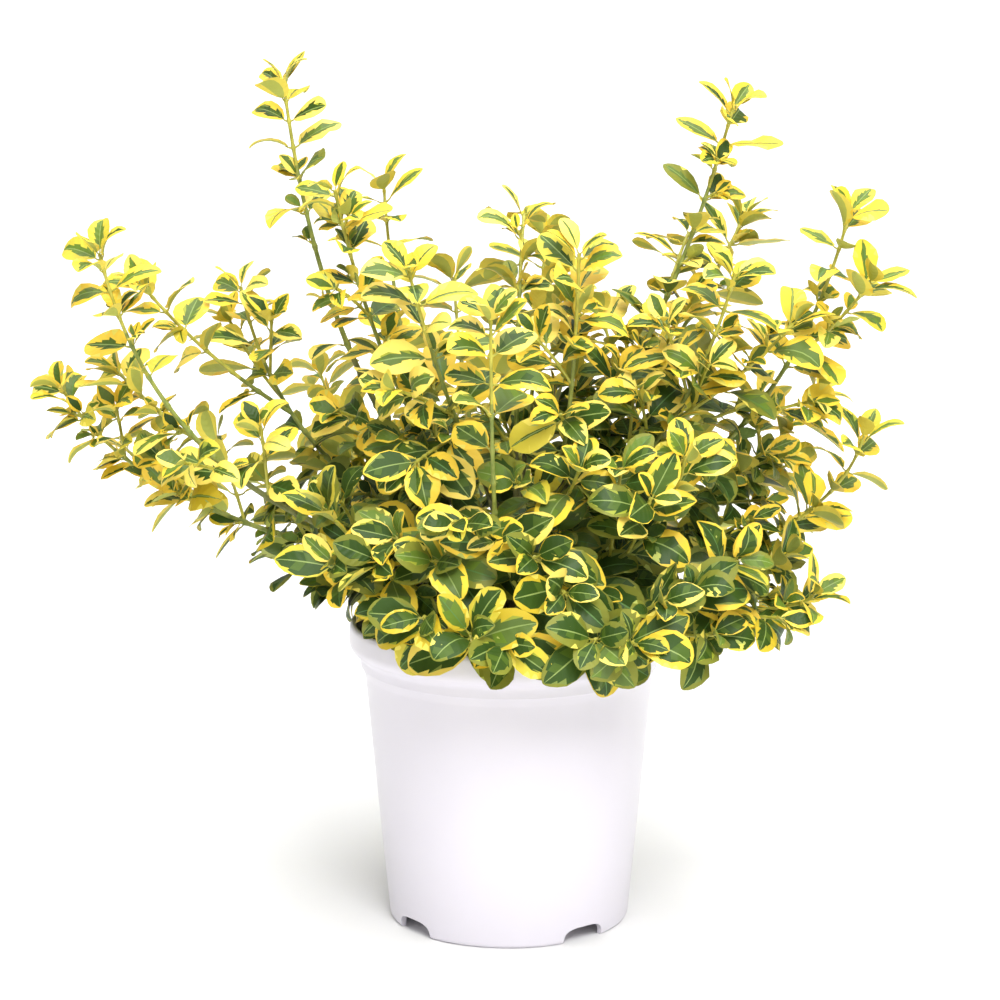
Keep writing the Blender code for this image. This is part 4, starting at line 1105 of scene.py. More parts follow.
@dataclass
class Crown:
    """The rule by which the shoots carry nodes, side twigs, rosettes and leaves."""

    stem: WoodyStem
    bough_share: float = 0.27
    tip_radius: float = 0.0007
    radius_growth: float = 0.0044
    branch_sweep: float = 0.08
    bare_past_bough: float = 0.004
    bare_shoot: float = 0.020
    bare_branch: float = 0.008
    bare_twig: float = 0.006
    first_internodes: tuple[float, ...] = (0.0028, 0.0060, 0.0100, 0.0135, 0.0160)
    long_internode: float = 0.0175
    level_rise: float = 0.55
    level_angles: Pair = (-0.35, 0.45)
    first_angle: float = 0.6
    angle_chances: Pair = (0.30, 0.35)
    leaf_length: float = 0.0264
    front_leaf_growth: float = 0.20
    inner_leaf_growth: float = 0.10
    tip_leaf_share: float = 0.62
    size_settling: float = 1.6
    size_chance: float = 0.16
    opening_deg: Triple = (36.0, 11.0, 70.0)
    opening_chance_deg: float = 10.0
    leaf_droop: float = 0.35
    leaf_rise: float = 0.05
    leaf_rise_share: float = 0.75
    rise_chance: float = 0.30
    high_heights: Pair = (0.19, 0.34)
    low_heights: Pair = (0.19, 0.25)
    stem_light: float = 0.40
    sky_light: float = 0.50
    sky_light_high: float = 0.40
    sky_chances: Pair = (0.45, 0.38)
    wild_inside: float = 0.45
    away_light: float = 0.95
    away_light_high: float = 0.65
    away_light_inner: float = 0.75
    front_light: float = 0.27
    front_light_high: float = 0.9
    front_light_ends: Pair = (0.03, 0.11)
    petiole_share: float = 0.14
    width_share: float = 0.62
    near_share: float = 0.06
    middle_share: float = 0.52
    inner_centre: Triple = (0.01, 0.0, 0.200)
    inner_weights: Triple = (0.75, 0.90, 1.25)
    inner_radii: Pair = (0.045, 0.115)
    shade_centre: Triple = (0.01, -0.02, 0.185)
    shade_weights: Triple = (0.80, 0.70, 1.25)
    shade_radii: Pair = (0.080, 0.145)
    heart: Triple = (0.0, 0.0, 0.170)
    cover_rise: float = 0.9
    cover_start: float = 0.010
    cover_radius: float = 0.015
    cover_counts: Pair = (3.0, 20.0)
    cover_heights: Pair = (0.20, 0.31)
    cover_above: float = 0.35
    twig_first_node: int = 5
    twig_chances: Pair = (0.12, 0.38)
    front_chances: Pair = (0.08, 0.12)
    twig_length: float = 0.024
    twig_growth: float = 0.0032
    twig_length_most: float = 0.052
    twig_leaf_scale: float = 0.86
    twig_growth_share: float = 0.62
    twig_outward_share: float = 0.75
    twig_rise: float = 0.25
    axil_first_node: int = 3
    bough_node_share: float = 0.35
    bough_internode: float = 0.0150
    bough_twig_length: float = 0.038
    rosette_chance: float = 0.28
    shed_chance: float = 0.80
    rosette_scale: float = 0.58
    rosette_length: float = 0.0055
    rosette_pairs: int = 3
    bare_rosette: float = 0.0015
    turns: tuple[float, ...] = (0.0, 0.45, -0.45, 0.9)
    space_overlap: float = 0.022
    limb_clearance: float = 0.0014
    own_clearance: float = 0.0007
    twig_clearance: float = 0.0022
    leaf_reach: float = 0.040
    pot_margin: float = 0.0012
    soil_top: float = 0.1470
    soil_radius: float = 0.070
    pot: NurseryPot = field(default_factory=NurseryPot)
    twigs: list[list[Twig]] = field(default_factory=list)
    bough_ends: list[float] = field(default_factory=list)
    leaves: list[Leaf] = field(default_factory=list)

    def __post_init__(self) -> None:
        """Seat the shoots, then grow side twigs, rosettes and leaves."""
        mains = self.seat_shoots()
        for index, (shoot, axis) in enumerate(zip(SHOOTS, mains)):
            end = self.bough_share * axis.length if shoot.bough else 0.0
            bare = end + (self.bare_past_bough if shoot.bough else self.bare_shoot)
            self.bough_ends.append(end)
            grown = [Twig((index, 0), axis, bare, 1.0, index)]
            for i, branch in enumerate(shoot.branches):
                start = axis.at(branch.leaves_at * axis.length)
                curve = swept(start, np.array(branch.tip), self.branch_sweep)
                grown.append(Twig((index, i + 1), curve, self.bare_branch, 1.0, index))
            self.twigs.append(grown)
        self.grow_side_twigs()
        self.grow_leaves()

    def twig_radius(self, to_tip: "float | np.ndarray") -> "float | np.ndarray":
        """Radius of a stem by the distance still to go to its tip."""
        return self.tip_radius + self.radius_growth * to_tip

    def seat_shoots(self) -> list[Axis]:
        """Every shoot's curve, seated on the woody stem in the order of its slope."""
        stem = self.stem
        fork = stem.centre(0.5 * (stem.seat_low + stem.seat_high))
        slopes = []
        for shoot in SHOOTS:
            rise = np.array(shoot.tip) - fork
            level = np.hypot(rise[0], rise[1]) * (0.5 + shoot.sweep)
            slopes.append(math.atan2(rise[2] * (0.5 - shoot.sweep), level))
        axes: list[Axis] = [None] * len(SHOOTS)
        for rank, index in enumerate(np.argsort(slopes, kind="stable")):
            height = stem.seat_low + (stem.seat_high - stem.seat_low) * rank / (len(SHOOTS) - 1)
            tip = np.array(SHOOTS[index].tip)
            centre = stem.centre(height)
            outward = unit((tip - centre) * (1, 1, 0))
            thickness = self.twig_radius(np.linalg.norm(tip - centre))
            lean = max(math.sin(slopes[index]), 0.0)
            offset = stem.radius_at(height) + stem.gap + thickness * (stem.seat_depth + lean)
            axes[index] = swept(centre + outward * offset, tip, SHOOTS[index].sweep)
        return axes

    def node_distances(self, length: float) -> list[float]:
        """Distances back from the tip at which the leaf pairs stand: short steps at the tip, then even."""
        distances = [0.0]
        while True:
            index = len(distances) - 1
            short = index < len(self.first_internodes)
            step = self.first_internodes[index] if short else self.long_internode
            if distances[-1] + step >= length:
                return distances
            distances.append(distances[-1] + step)

    def pair_angle(self, growth: np.ndarray, index: int, chance: float) -> float:
        """Angle of a leaf pair round its stem: square to the last pair's, or level on a level stem."""
        if abs(growth[2]) < self.level_rise:
            return self.level_angles[index % 2] + self.angle_chances[0] * chance
        return index * math.pi / 2 + self.first_angle + self.angle_chances[1] * chance

    def leaf_at(self, twig: Twig, distance: float, angle: float, index: int, jitter: np.ndarray) -> Leaf:
        """One leaf: it leaves the stem at the node's angle and turns its face outward and to the light."""
        root, growth = twig.axis.at(distance), twig.axis.growth(distance)
        level, upper = across(growth)
        outward = math.cos(angle) * level + math.sin(angle) * upper
        first, step, most = self.opening_deg
        opening = math.radians(min(first + step * index, most) + self.opening_chance_deg * jitter[0])
        along = math.cos(opening) * growth + math.sin(opening) * outward
        droop = self.leaf_droop * (1.0 - growth[2]) ** 2
        along[2] = self.leaf_rise_share * along[2] + self.leaf_rise - droop + self.rise_chance * jitter[1]
        along = unit(along)
        away = root * (1.0, 1.0, 0.0) / (np.hypot(root[0], root[1]) + 0.02)
        high = float(smoothstep(*self.high_heights, root[2]))
        front = self.front_light * (1.0 - float(smoothstep(*self.front_light_ends, root[1])))
        inner = float(self.inner_share(root))
        front *= 1.0 + self.front_light_high * high
        wild = 1.0 + self.wild_inside * inner
        sky_x = self.sky_chances[0] * wild * jitter[2]
        sky_y = self.sky_chances[1] * wild * jitter[3] - front
        sky = np.array([sky_x, sky_y, self.sky_light + self.sky_light_high * high])
        outer_light = self.away_light - self.away_light_high * high
        outer_light *= 1.0 - self.away_light_inner * inner
        light = self.stem_light * growth + outer_light * away + sky
        normal = unit(light - along * (light @ along))
        share = 1.0 - (1.0 - self.tip_leaf_share) * math.exp(-index / self.size_settling)
        low = 1.0 - float(smoothstep(*self.low_heights, root[2]))
        region_growth = 1.0 + self.inner_leaf_growth * inner
        if SHOOTS[twig.owner].region is Region.FRONT:
            region_growth += self.front_leaf_growth * low
        size_change = 1.0 + self.size_chance * jitter[4]
        length = self.leaf_length * region_growth * share * twig.scale * size_change
        return Leaf(root, along, normal, length, index, twig.owner)

    def inner_share(self, points: np.ndarray) -> np.ndarray:
        """How deep in the crown points lie: 1 near its middle, 0 in its outer part."""
        distance = np.linalg.norm((points - np.array(self.inner_centre)) * self.inner_weights, axis=-1)
        return 1.0 - smoothstep(*self.inner_radii, distance)

    def shade_share(self, points: np.ndarray) -> np.ndarray:
        """How far leaves are of the shaded kind, greener and painted with darker shade tones: 1 low in the
        crown's middle and front, 0 outside.
        """
        distance = np.linalg.norm((points - np.array(self.shade_centre)) * self.shade_weights, axis=-1)
        return 1.0 - smoothstep(*self.shade_radii, distance)

    def covered_share(self) -> np.ndarray:
        """How far each leaf is hidden from the light: 0 for the outermost, 1 under many others.

        A leaf covers another where it lies further out along the line from the crown's heart through the
        other leaf, or from straight above it and aslant, within the width of a leaf of that line.
        """
        place = np.array([leaf.root + 0.6 * leaf.length * leaf.along for leaf in self.leaves])
        heart = np.array(self.heart)
        outward = unit(place - heart)
        upward = unit(outward + np.array([0.0, 0.0, self.cover_rise]))
        apart = place[None] - place[:, None]
        count = np.zeros(len(place))
        for way in (outward, upward):
            ahead = np.einsum("ijk,ik->ij", apart, way)
            aside = np.sqrt(np.maximum((apart**2).sum(-1) - ahead**2, 0.0))
            count += ((ahead > self.cover_start) & (aside < self.cover_radius)).sum(axis=1)
        high = smoothstep(*self.cover_heights, place[:, 2])
        return smoothstep(*self.cover_counts, count) * (1.0 - (1.0 - self.cover_above) * high)

    def grow_side_twigs(self) -> None:
        """Add side twigs and rosettes in the axils of lower nodes, and short leafy twigs on the boughs."""
        limbs = Limbs(self.twigs)
        for owner in range(len(SHOOTS)):
            for parent in list(self.twigs[owner]):
                for index, back in enumerate(self.node_distances(parent.axis.length - parent.bare)):
                    if index >= self.axil_first_node:
                        self.grow_axil(limbs, parent, index, parent.axis.length - back)
            bough_end = self.bough_ends[owner]
            places = np.arange(bough_end, self.bough_node_share * bough_end, -self.bough_internode)
            for index, distance in enumerate(places):
                self.grow_axil(limbs, self.twigs[owner][0], BOUGH_NODE + index, float(distance))

    def grow_axil(self, limbs: Limbs, parent: Twig, index: int, distance: float) -> None:
        """Grow what stands in the two axils of one node, where it keeps clear."""
        growth = parent.axis.growth(distance)
        root = parent.axis.at(distance)
        level, upper = across(growth)
        inner = float(self.inner_share(root))
        shoot = SHOOTS[parent.owner]
        full_chance = self.twig_chances[0] + (self.twig_chances[1] - self.twig_chances[0]) * inner
        rosette_chance = self.rosette_chance * shoot.fullness
        if shoot.region is Region.FRONT:
            full_chance, rosette_chance = self.front_chances
        for side in (0, 1):
            chance = draw(*parent.key, AXIL_KEY + side, index)
            angle = self.pair_angle(growth, index, draw(*parent.key, index)[0]) + math.pi * side
            outward = math.cos(angle) * level + math.sin(angle) * upper
            aside = self.twig_outward_share * outward + np.array([0.0, 0.0, self.twig_rise])
            along = unit(self.twig_growth_share * growth + aside)
            full = index >= self.twig_first_node and 0.5 + 0.5 * chance[0] < full_chance * shoot.fullness
            if full:
                length = self.twig_length + self.twig_growth * (index - self.axil_first_node)
                length = min(length, self.twig_length_most)
                length = self.bough_twig_length if index >= BOUGH_NODE else length
                length *= 1.0 + 0.25 * chance[1]
                scale = self.twig_leaf_scale
            elif 0.5 + 0.5 * chance[2] < rosette_chance:
                length = self.rosette_length + 0.0025 * chance[1]
                scale = self.rosette_scale * (1.0 + 0.2 * chance[3])
            else:
                continue
            curve = swept(root, root + length * along, -self.branch_sweep)
            bare = self.bare_twig if full else self.bare_rosette
            twig = Twig((*parent.key, index, side), curve, bare, scale, parent.owner, not full)
            points = curve.at(np.linspace(min(0.004, 0.6 * length), length, 8))
            own, others = limbs.distances(parent.owner, points)
            kept = others.min() > self.twig_clearance and np.all(own < others + self.space_overlap)
            if kept and self.clear_of_pot(points):
                self.twigs[parent.owner].append(twig)

    def clear_of_pot(self, points: np.ndarray) -> bool:
        """Whether points stay above the potting mix and off the pot's wall and lip."""
        radius = np.hypot(points[:, 0], points[:, 1])
        over_lip = points[:, 2] > self.pot.height + self.pot_margin
        inside = (radius < self.soil_radius) & (points[:, 2] > self.soil_top + self.pot_margin)
        outside = radius > self.pot.lip_radius + self.pot_margin
        return bool(np.all(over_lip | inside | outside))

    def sheds(self, twig: Twig, index: int, back: float, side: int) -> bool:
        """Whether a leaf has fallen: the older part of a shoot, past its leafy reach, keeps few."""
        old = len(twig.key) == 2 and back > SHOOTS[twig.owner].leafy
        return old and 0.5 + 0.5 * draw(*twig.key, index, side)[5] < self.shed_chance

    def corners(self, leaf: Leaf) -> np.ndarray:
        """Near end, right, tip and left corners of a leaf's outline."""
        side = np.cross(leaf.along, leaf.normal) * 0.5 * self.width_share * leaf.length
        petiole = self.petiole_share * leaf.length
        near = leaf.root + (petiole + self.near_share * leaf.length) * leaf.along
        middle = leaf.root + (petiole + self.middle_share * leaf.length) * leaf.along
        tip = leaf.root + (petiole + leaf.length) * leaf.along
        return np.array([near, middle + side, tip, middle - side])

    def grow_leaves(self) -> None:
        """Add leaves from the tips inward; one that touches tries a few turns before it is left out."""
        limbs = Limbs(self.twigs)
        waiting = []
        for twigs in self.twigs:
            for twig in twigs:
                pairs = self.node_distances(twig.axis.length - twig.bare)
                pairs = pairs[: self.rosette_pairs] if twig.rosette else pairs
                for index, back in enumerate(pairs):
                    distance = twig.axis.length - back
                    angle = self.pair_angle(twig.axis.growth(distance), index, draw(*twig.key, index)[0])
                    for side in (0, 1):
                        if not self.sheds(twig, index, back, side):
                            waiting.append((index, twig, distance, angle + side * math.pi, side))
        waiting.sort(key=lambda item: item[0])
        total = len(waiting)
        outlines = np.empty((total, 4, 3))
        normals = np.empty((total, 3))
        middles = np.empty((total, 3))
        for index, twig, distance, angle, side in waiting:
            jitter = draw(*twig.key, index, side)
            for attempt, turn in enumerate(self.turns):
                jitter[4] = jitter[4] if attempt == 0 else min(jitter[4], 0.0) - 0.4 * attempt
                leaf = self.leaf_at(twig, distance, angle + turn, index, jitter)
                outline = self.corners(leaf)
                if self.leaf_fits(limbs, leaf, outline, outlines, normals, middles):
                    kept = len(self.leaves)
                    outlines[kept], normals[kept] = outline, leaf.normal
                    middles[kept] = outline.mean(axis=0)
                    self.leaves.append(leaf)
                    break
        log.info("leaves: %d of %d, twigs: %d", len(self.leaves), total, sum(len(t) for t in self.twigs))

    def leaf_fits(
        self,
        limbs: Limbs,
        leaf: Leaf,
        outline: np.ndarray,
        outlines: np.ndarray,
        normals: np.ndarray,
        middles: np.ndarray,
    ) -> bool:
        """Whether a leaf keeps to its owner's space and touches no limb and no other leaf.

        Args:
            limbs: The limbs that it has to keep off.
            leaf: The leaf.
            outline: Its four corners.
            outlines: The corners of the leaves that stand already.
            normals: Their normals.
            middles: Their middles.

        Returns:
            True if it fits.
        """
        nearby = 0.5 * (outline + np.roll(outline, -1, axis=0))
        points = np.concatenate([outline, nearby, outline.mean(axis=0)[None]])
        if not self.clear_of_pot(points):
            return False
        own, others = limbs.distances(leaf.owner, points)
        if others.min() < self.limb_clearance or np.any(own > others + self.space_overlap):
            return False
        if own[4:].min() < self.own_clearance:
            return False
        count = len(self.leaves)
        close = np.flatnonzero(np.abs(middles[:count] - outline.mean(axis=0)).max(axis=1) < self.leaf_reach)
        if len(close) == 0:
            return True
        mine = np.repeat(outline[None], len(close), axis=0)
        facing = np.repeat(leaf.normal[None], len(close), axis=0)
        theirs = outlines[close]
        return not (pierced(mine, facing, theirs).any() or pierced(theirs, normals[close], mine).any())


class Tone(Enum):
    """The colour families of a blade, each with its finishes."""

    YELLOW = (
        LeafFinish("lemon_margin", linear(245, 212, 66)),
        LeafFinish("golden_margin", linear(240, 203, 64)),
        LeafFinish("lime_margin", linear(212, 196, 64)),
        LeafFinish("pale_margin", linear(246, 220, 102)),
        # The next two margin tones are painted shade: darker copies of the margin yellow for covered leaves
        # and leaves low in the crown.
        LeafFinish("shaded_margin", linear(126, 130, 46)),
        LeafFinish("shade_dimmed_gold_margin", linear(208, 182, 48)),
    )
    GREEN = (
        # deep_green is a random tone for a few leaves and painted shade for shaded and covered ones.
        LeafFinish("deep_green", linear(51, 77, 22), 0.46),
        LeafFinish("leaf_green", linear(74, 99, 30), 0.46),
        LeafFinish("fresh_green", linear(100, 126, 42), 0.46),
        LeafFinish("soft_green", linear(92, 114, 50), 0.46),
    )
    STREAK = (
        LeafFinish("apple_streak", linear(156, 164, 54)),
        LeafFinish("sage_streak", linear(120, 136, 62)),
    )
    RIB = (
        LeafFinish("pale_rib", linear(138, 158, 86)),
        LeafFinish("green_rib", linear(92, 130, 68)),
    )
    UNDER = (
        LeafFinish("yellow_underside", linear(232, 216, 94), 0.55),
        LeafFinish("sage_underside", linear(178, 186, 94), 0.55),
        # shaded_underside is painted shade: a darker underside for leaves deep in the crown or covered.
        LeafFinish("shaded_underside", linear(92, 114, 54), 0.55),
    )


def tone_start(tone: Tone) -> int:
    """The material slot at which a colour family starts."""
    order = list(Tone)
    return sum(len(t.value) for t in order[: order.index(tone)])


class Grade(NamedTuple):
    """How finely a blade is built: rows of corners, and its strips across above and below."""

    rows: int
    top: int
    below: int


class Grades(Enum):
    """Grades of blade, by size."""

    LARGE = Grade(8, 7, 4)
    SMALL = Grade(6, 4, 2)


@dataclass
class Foliage:
    """Blades built from arrays: an outline, a fold, a curl and colour zones that are faces of their own."""

    crown: Crown
    thickness: float = 0.00035
    small_below: float = 0.0155
    rib_share: float = 0.038
    row_slant: float = 0.16
    low_heights: Pair = (0.165, 0.235)
    outer_radii: Pair = (0.085, 0.150)
    seed: int = 23
    data: Arrays = field(default_factory=dict)

    def __post_init__(self) -> None:
        """Gather the leaves' places and directions as arrays, with how deep in the crown each lies."""
        leaves = self.crown.leaves
        regions = np.array([list(Region).index(shoot.region) for shoot in SHOOTS])
        root = np.array([leaf.root for leaf in leaves])
        outer = smoothstep(*self.outer_radii, np.hypot(root[:, 0], 0.6 * root[:, 1]))
        self.data = {
            "root": root,
            "low": 1.0 - smoothstep(*self.low_heights, root[:, 2]),
            "along": np.array([leaf.along for leaf in leaves]),
            "normal": np.array([leaf.normal for leaf in leaves]),
            "length": np.array([leaf.length for leaf in leaves]),
            "node": np.array([leaf.node for leaf in leaves]),
            "region": regions[[leaf.owner for leaf in leaves]],
            "inner": self.crown.inner_share(root),
            "shade": self.crown.shade_share(root),
            "cover": self.crown.covered_share() * (1.0 - 0.75 * outer),
            "outer": outer,
        }

    def part(self, chosen: np.ndarray) -> Arrays:
        """The chosen leaves' arrays."""
        return {key: value[chosen] for key, value in self.data.items()}

    def shape(self, count: int, rng: Generator) -> Arrays:
        """Seeded numbers that set the form of each blade, as arrays to spread over rows and columns."""
        spans = {
            "base": (0.62, 0.86),
            "tip": (0.54, 0.80),
            "width": (0.56, 0.74),
            "fold": (0.04, 0.42),
            "cup": (0.1, 1.6),
            "phase": (0.0, math.tau),
            "waves": (0.8, 1.9),
            "height": (0.0, 0.045),
            "bend": (0.10, 1.15),
        }
        drawn = {name: rng.uniform(low, high, (count, 1, 1)) for name, (low, high) in spans.items()}
        drawn["twist"] = rng.normal(0.0, 0.30, (count, 1, 1))
        return drawn

    def surface(
        self, form: Arrays, length: np.ndarray, u: np.ndarray, t: np.ndarray, drop: float
    ) -> np.ndarray:
        """Points of the blades in their own directions.

        At share t of the length L the half width is w = W L t^p (1-t)^q over its greatest value. The point
        at share u of it lies u w to the side, on a fold f w (|u| - c u^2 / 2) and a wave that grows as u^2,
        turned about the midrib by a twist times t. The midrib's slope is B (0.30 - 1.30 t^1.4), so its
        height is L B (0.30 t - 0.5417 t^2.4), and its reach is L t less half the integral of the squared
        slope.

        Args:
            form: The blades' own numbers.
            length: Their lengths.
            u: Shares of the half width, blades by rows by columns.
            t: Shares of the length, in the same layout.
            drop: How far the points lie below the surface.

        Returns:
            Points, blades by rows by columns by 3.
        """
        peak = form["base"] / (form["base"] + form["tip"])
        best = peak ** form["base"] * (1 - peak) ** form["tip"]
        half = 0.5 * form["width"] * length * t ** form["base"] * (1 - t) ** form["tip"] / best
        rise = np.sqrt(u**2 + 0.02**2) - 0.02 - 0.5 * form["cup"] * u**2
        wave = np.sin(math.tau * form["waves"] * t + form["phase"] + np.sign(u))
        swell = np.minimum(4 * t * (1 - t), 1)
        lift = form["fold"] * half * rise + form["height"] * length * u**2 * wave * swell
        flat = u * half
        turn = form["twist"] * t
        x = flat * np.cos(turn) - lift * np.sin(turn)
        lift = flat * np.sin(turn) + lift * np.cos(turn) - drop
        bend = form["bend"]
        slope = bend * (0.30 - 1.30 * t**1.4)
        y_mid = length * (t - 0.5 * bend**2 * (0.09 * t - 0.325 * t**2.4 + 0.4447 * t**3.8))
        z_mid = length * bend * (0.30 * t - 0.5417 * t**2.4)
        return np.stack([x, y_mid - np.sin(slope) * lift, z_mid + np.cos(slope) * lift], axis=-1)

    def blades(self, data: Arrays, grade: Grade, rng: Generator) -> tuple:
        """Corners, faces, slots and surface map of many blades at once.

        The rows slant forward towards the margin, as side veins do: t' = t + s 4t(1-t)|u|.

        Args:
            data: The leaves' arrays.
            grade: How finely they are built.
            rng: The source of the leaves' own shapes.

        Returns:
            Points, faces, slots and map places, as Mesh.add takes them.
        """
        count, rows = len(data["length"]), grade.rows
        length = data["length"][:, None, None]
        stations = 0.5 * (1.0 - np.cos(math.pi * np.arange(1, rows + 1) / (rows + 1)))[None, :, None]
        green = self.green_share(data, stations[0, :, 0], rng)
        top_u = self.columns(green, data["shade"], grade, rng)
        below_u = np.linspace(-1.0, 1.0, grade.below + 1)[1:-1] * np.ones((count, rows, 1))
        form = self.shape(count, rng)
        crenate = 1.0 + 0.022 * rng.choice((-1.0, 1.0), (count, rows, 2))
        top_u[..., 0] *= crenate[..., 0]
        top_u[..., -1] *= crenate[..., 1]
        places = [np.zeros((count, 2, 1)), top_u, below_u]
        along = [stations + self.row_slant * 4 * stations * (1 - stations) * np.abs(u) for u in places[1:]]
        ends = np.broadcast_to(np.array([0.0, 1.0])[None, :, None], (count, 2, 1))
        local = [
            self.surface(form, length, places[0], ends, 0.0),
            self.surface(form, length, top_u, along[0], 0.0),
            self.surface(form, length, below_u, along[1], self.thickness),
        ]
        local = np.concatenate([part.reshape(count, -1, 3) for part in local], axis=1)
        side = np.cross(data["along"], data["normal"])
        start = data["root"] + data["along"] * (self.crown.petiole_share * data["length"])[:, None]
        turned = np.stack([side, data["along"], data["normal"]], axis=1)
        points = start[:, None] + local @ turned
        maps = [np.stack([0.5 + 0.5 * u, t * np.ones_like(u)], -1) for u, t in zip(places, [ends, *along])]
        uv = np.concatenate([part.reshape(count, -1, 2) for part in maps], axis=1)
        faces, slots = self.faces(data, grade, green, rng)
        return points, faces, slots, uv

    @staticmethod
    def green_share(data: Arrays, t: np.ndarray, rng: Generator) -> np.ndarray:
        """Share of the half width that is green, for each leaf, row and side, with a jagged edge."""
        count = len(data["length"])
        shade = data["shade"]
        young = np.exp(-data["node"] / 1.6) * (1.0 - shade)
        # Shaded and covered leaves are greener: partly how leaves grown in shade are, partly painted shade.
        base = 0.68 + (0.20 + 0.18 * data["cover"]) * shade - 0.10 * young - 0.04 * data["outer"]
        base = base + rng.normal(0.0, 0.12, count)
        chance = rng.uniform(0, 1, count)
        base = np.where(chance < 0.10 * (1.0 - shade), 0.12, base)
        taper = 1.0 - 0.80 * t**3.5 - 0.20 * (1.0 - t) ** 4
        turns, phase = rng.uniform(0.6, 1.6, (count, 1, 2)), rng.uniform(0, 1, (count, 1, 2))
        drift = np.sin(math.tau * (turns * t[:, None] + phase))
        jag = rng.uniform(-0.30, 0.24, (count, len(t), 2)) + 0.16 * drift
        jag = 1.0 + jag * (1.0 - 0.40 * shade)[:, None, None]
        sides = rng.uniform(0.64, 1.22, (count, 1, 2))
        return np.clip(base[:, None, None] * taper[None, :, None] * jag * sides, 0.10, 0.96)

    def columns(self, green: np.ndarray, shade: np.ndarray, grade: Grade, rng: Generator) -> np.ndarray:
        """Places of the corners across each row, as shares of the half width from -1 to 1."""
        left, right = green[..., 0], green[..., 1]
        one = np.ones_like(left)
        if grade.top == Grades.SMALL.value.top:
            return np.stack([-one, -left, 0 * one, right, one], axis=-1)
        rib = self.rib_share * one
        core = rng.uniform(0.42, 0.76, green.shape) + 0.18 * shade[:, None, None]
        inner_left, inner_right = left * core[..., 0], right * core[..., 1]
        return np.stack([-one, -left, -inner_left, -rib, rib, inner_right, right, one], axis=-1)

    def faces(self, data: Arrays, grade: Grade, green: np.ndarray, rng: Generator) -> tuple:
        """Faces of every blade and the slot of each.

        Args:
            data: The leaves' arrays.
            grade: How finely the blades are built.
            green: Shares of the half width that are green.
            rng: The source of streaks.

        Returns:
            Two lists: quads and triangles, and their slots.
        """
        count, rows = len(data["length"]), grade.rows
        top = 2 + np.arange(rows * (grade.top + 1)).reshape(rows, grade.top + 1)
        inside = 2 + top.size + np.arange(rows * (grade.below - 1)).reshape(rows, grade.below - 1)
        below = np.concatenate([top[:, -1:], inside[:, ::-1], top[:, :1]], axis=1)
        above, under, teeth = self.zones(data, grade, green, rng)
        quads, quad_slots, fans, fan_slots = [], [], [], []
        for sheet, tones in ((top, above), (below, under)):
            near, far = sheet[0], sheet[-1]
            fans.append(np.stack([0 * near[1:], near[1:], near[:-1]], axis=-1))
            fans.append(np.stack([0 * far[1:] + 1, far[:-1], far[1:]], axis=-1))
            fan_slots += [tones[:, 0], tones[:, -1]]
            split = len(teeth) > 0 and sheet is top
            whole = [i for i in range(sheet.shape[1] - 1) if not (split and i in (1, 5))]
            corners = np.stack([sheet[:-1, :-1], sheet[:-1, 1:], sheet[1:, 1:], sheet[1:, :-1]], axis=-1)
            quads.append(corners[:, whole].reshape(-1, 4))
            quad_slots.append(tones[:, 1:-1][:, :, whole].reshape(count, -1))
            if split:
                left, right = corners[:, 1], corners[:, 5]
                fans += [left[:, [1, 2, 3]], left[:, [0, 1, 3]], right[:, [0, 2, 3]], right[:, [0, 1, 2]]]
                fan_slots += teeth
        size = 2 + top.size + inside.size
        slots = [np.concatenate(part, axis=1).ravel() for part in (quad_slots, fan_slots)]
        return [repeated(np.concatenate(part), size, count) for part in (quads, fans)], slots

    @staticmethod
    def zones(data: Arrays, grade: Grade, share: np.ndarray, rng: Generator) -> tuple:
        """Slots of the faces above and below, leaves by bands from base to tip by strips across.

        The strip at each edge of the green has two triangles a band: a tooth of green that points
        forward and outward, and the margin's share behind it. Their slots come third, side by side.
        """
        inner, cover, low, outer = data["inner"], data["cover"], data["low"], data["outer"]
        count, bands = len(inner), grade.rows + 1
        band = np.ones((count, bands), int)
        roll = rng.uniform(0, 1, count)
        # Painted shade: covered leaves, and low ones in the crown's shaded part, take the darker margin
        # tones.
        shade_dulling = np.clip(0.85 * cover + (0.12 + 0.42 * low) * data["shade"], 0.0, 0.92)
        rest = (roll - shade_dulling) / (1.0 - shade_dulling)
        ends = [0.0, 0.50 * low, 0.20 + 0.38 * low, 0.62 + 0.20 * low, 0.74 + 0.20 * low]
        picks = [rest < end for end in ends]
        yellow = (tone_start(Tone.YELLOW) + np.select(picks, [4, 5, 0, 1, 2], 3))[:, None] * band
        young = np.exp(-data["node"] / 1.6)
        roll = rng.uniform(0, 1, count)
        # Painted shade: shaded and covered leaves mostly take the darkest green.
        deep = np.maximum((0.58 + 0.38 * low) * data["shade"], 0.9 * cover)
        # Painted light: outer leaves high up take fewer of the dark greens and more of the fresh and soft
        # ones.
        outer_lit = 0.35 * outer * (1.0 - low)
        ends = [0.12 - 0.08 * outer + 0.80 * deep, 0.70 - outer_lit, 0.76 - 0.5 * outer_lit + 0.22 * young]
        picks = [roll < end for end in ends]
        green = (tone_start(Tone.GREEN) + np.select(picks, [0, 1, 2], 3))[:, None] * band
        streak = (tone_start(Tone.STREAK) + rng.integers(0, 2, count))[:, None] * band
        # Painted shade: covered leaves mostly take the darker green rib.
        rib = tone_start(Tone.RIB) + (cover + 0.4 * rng.uniform(-1, 1, count) > 0.3).astype(int)
        rib = rib[:, None] * band
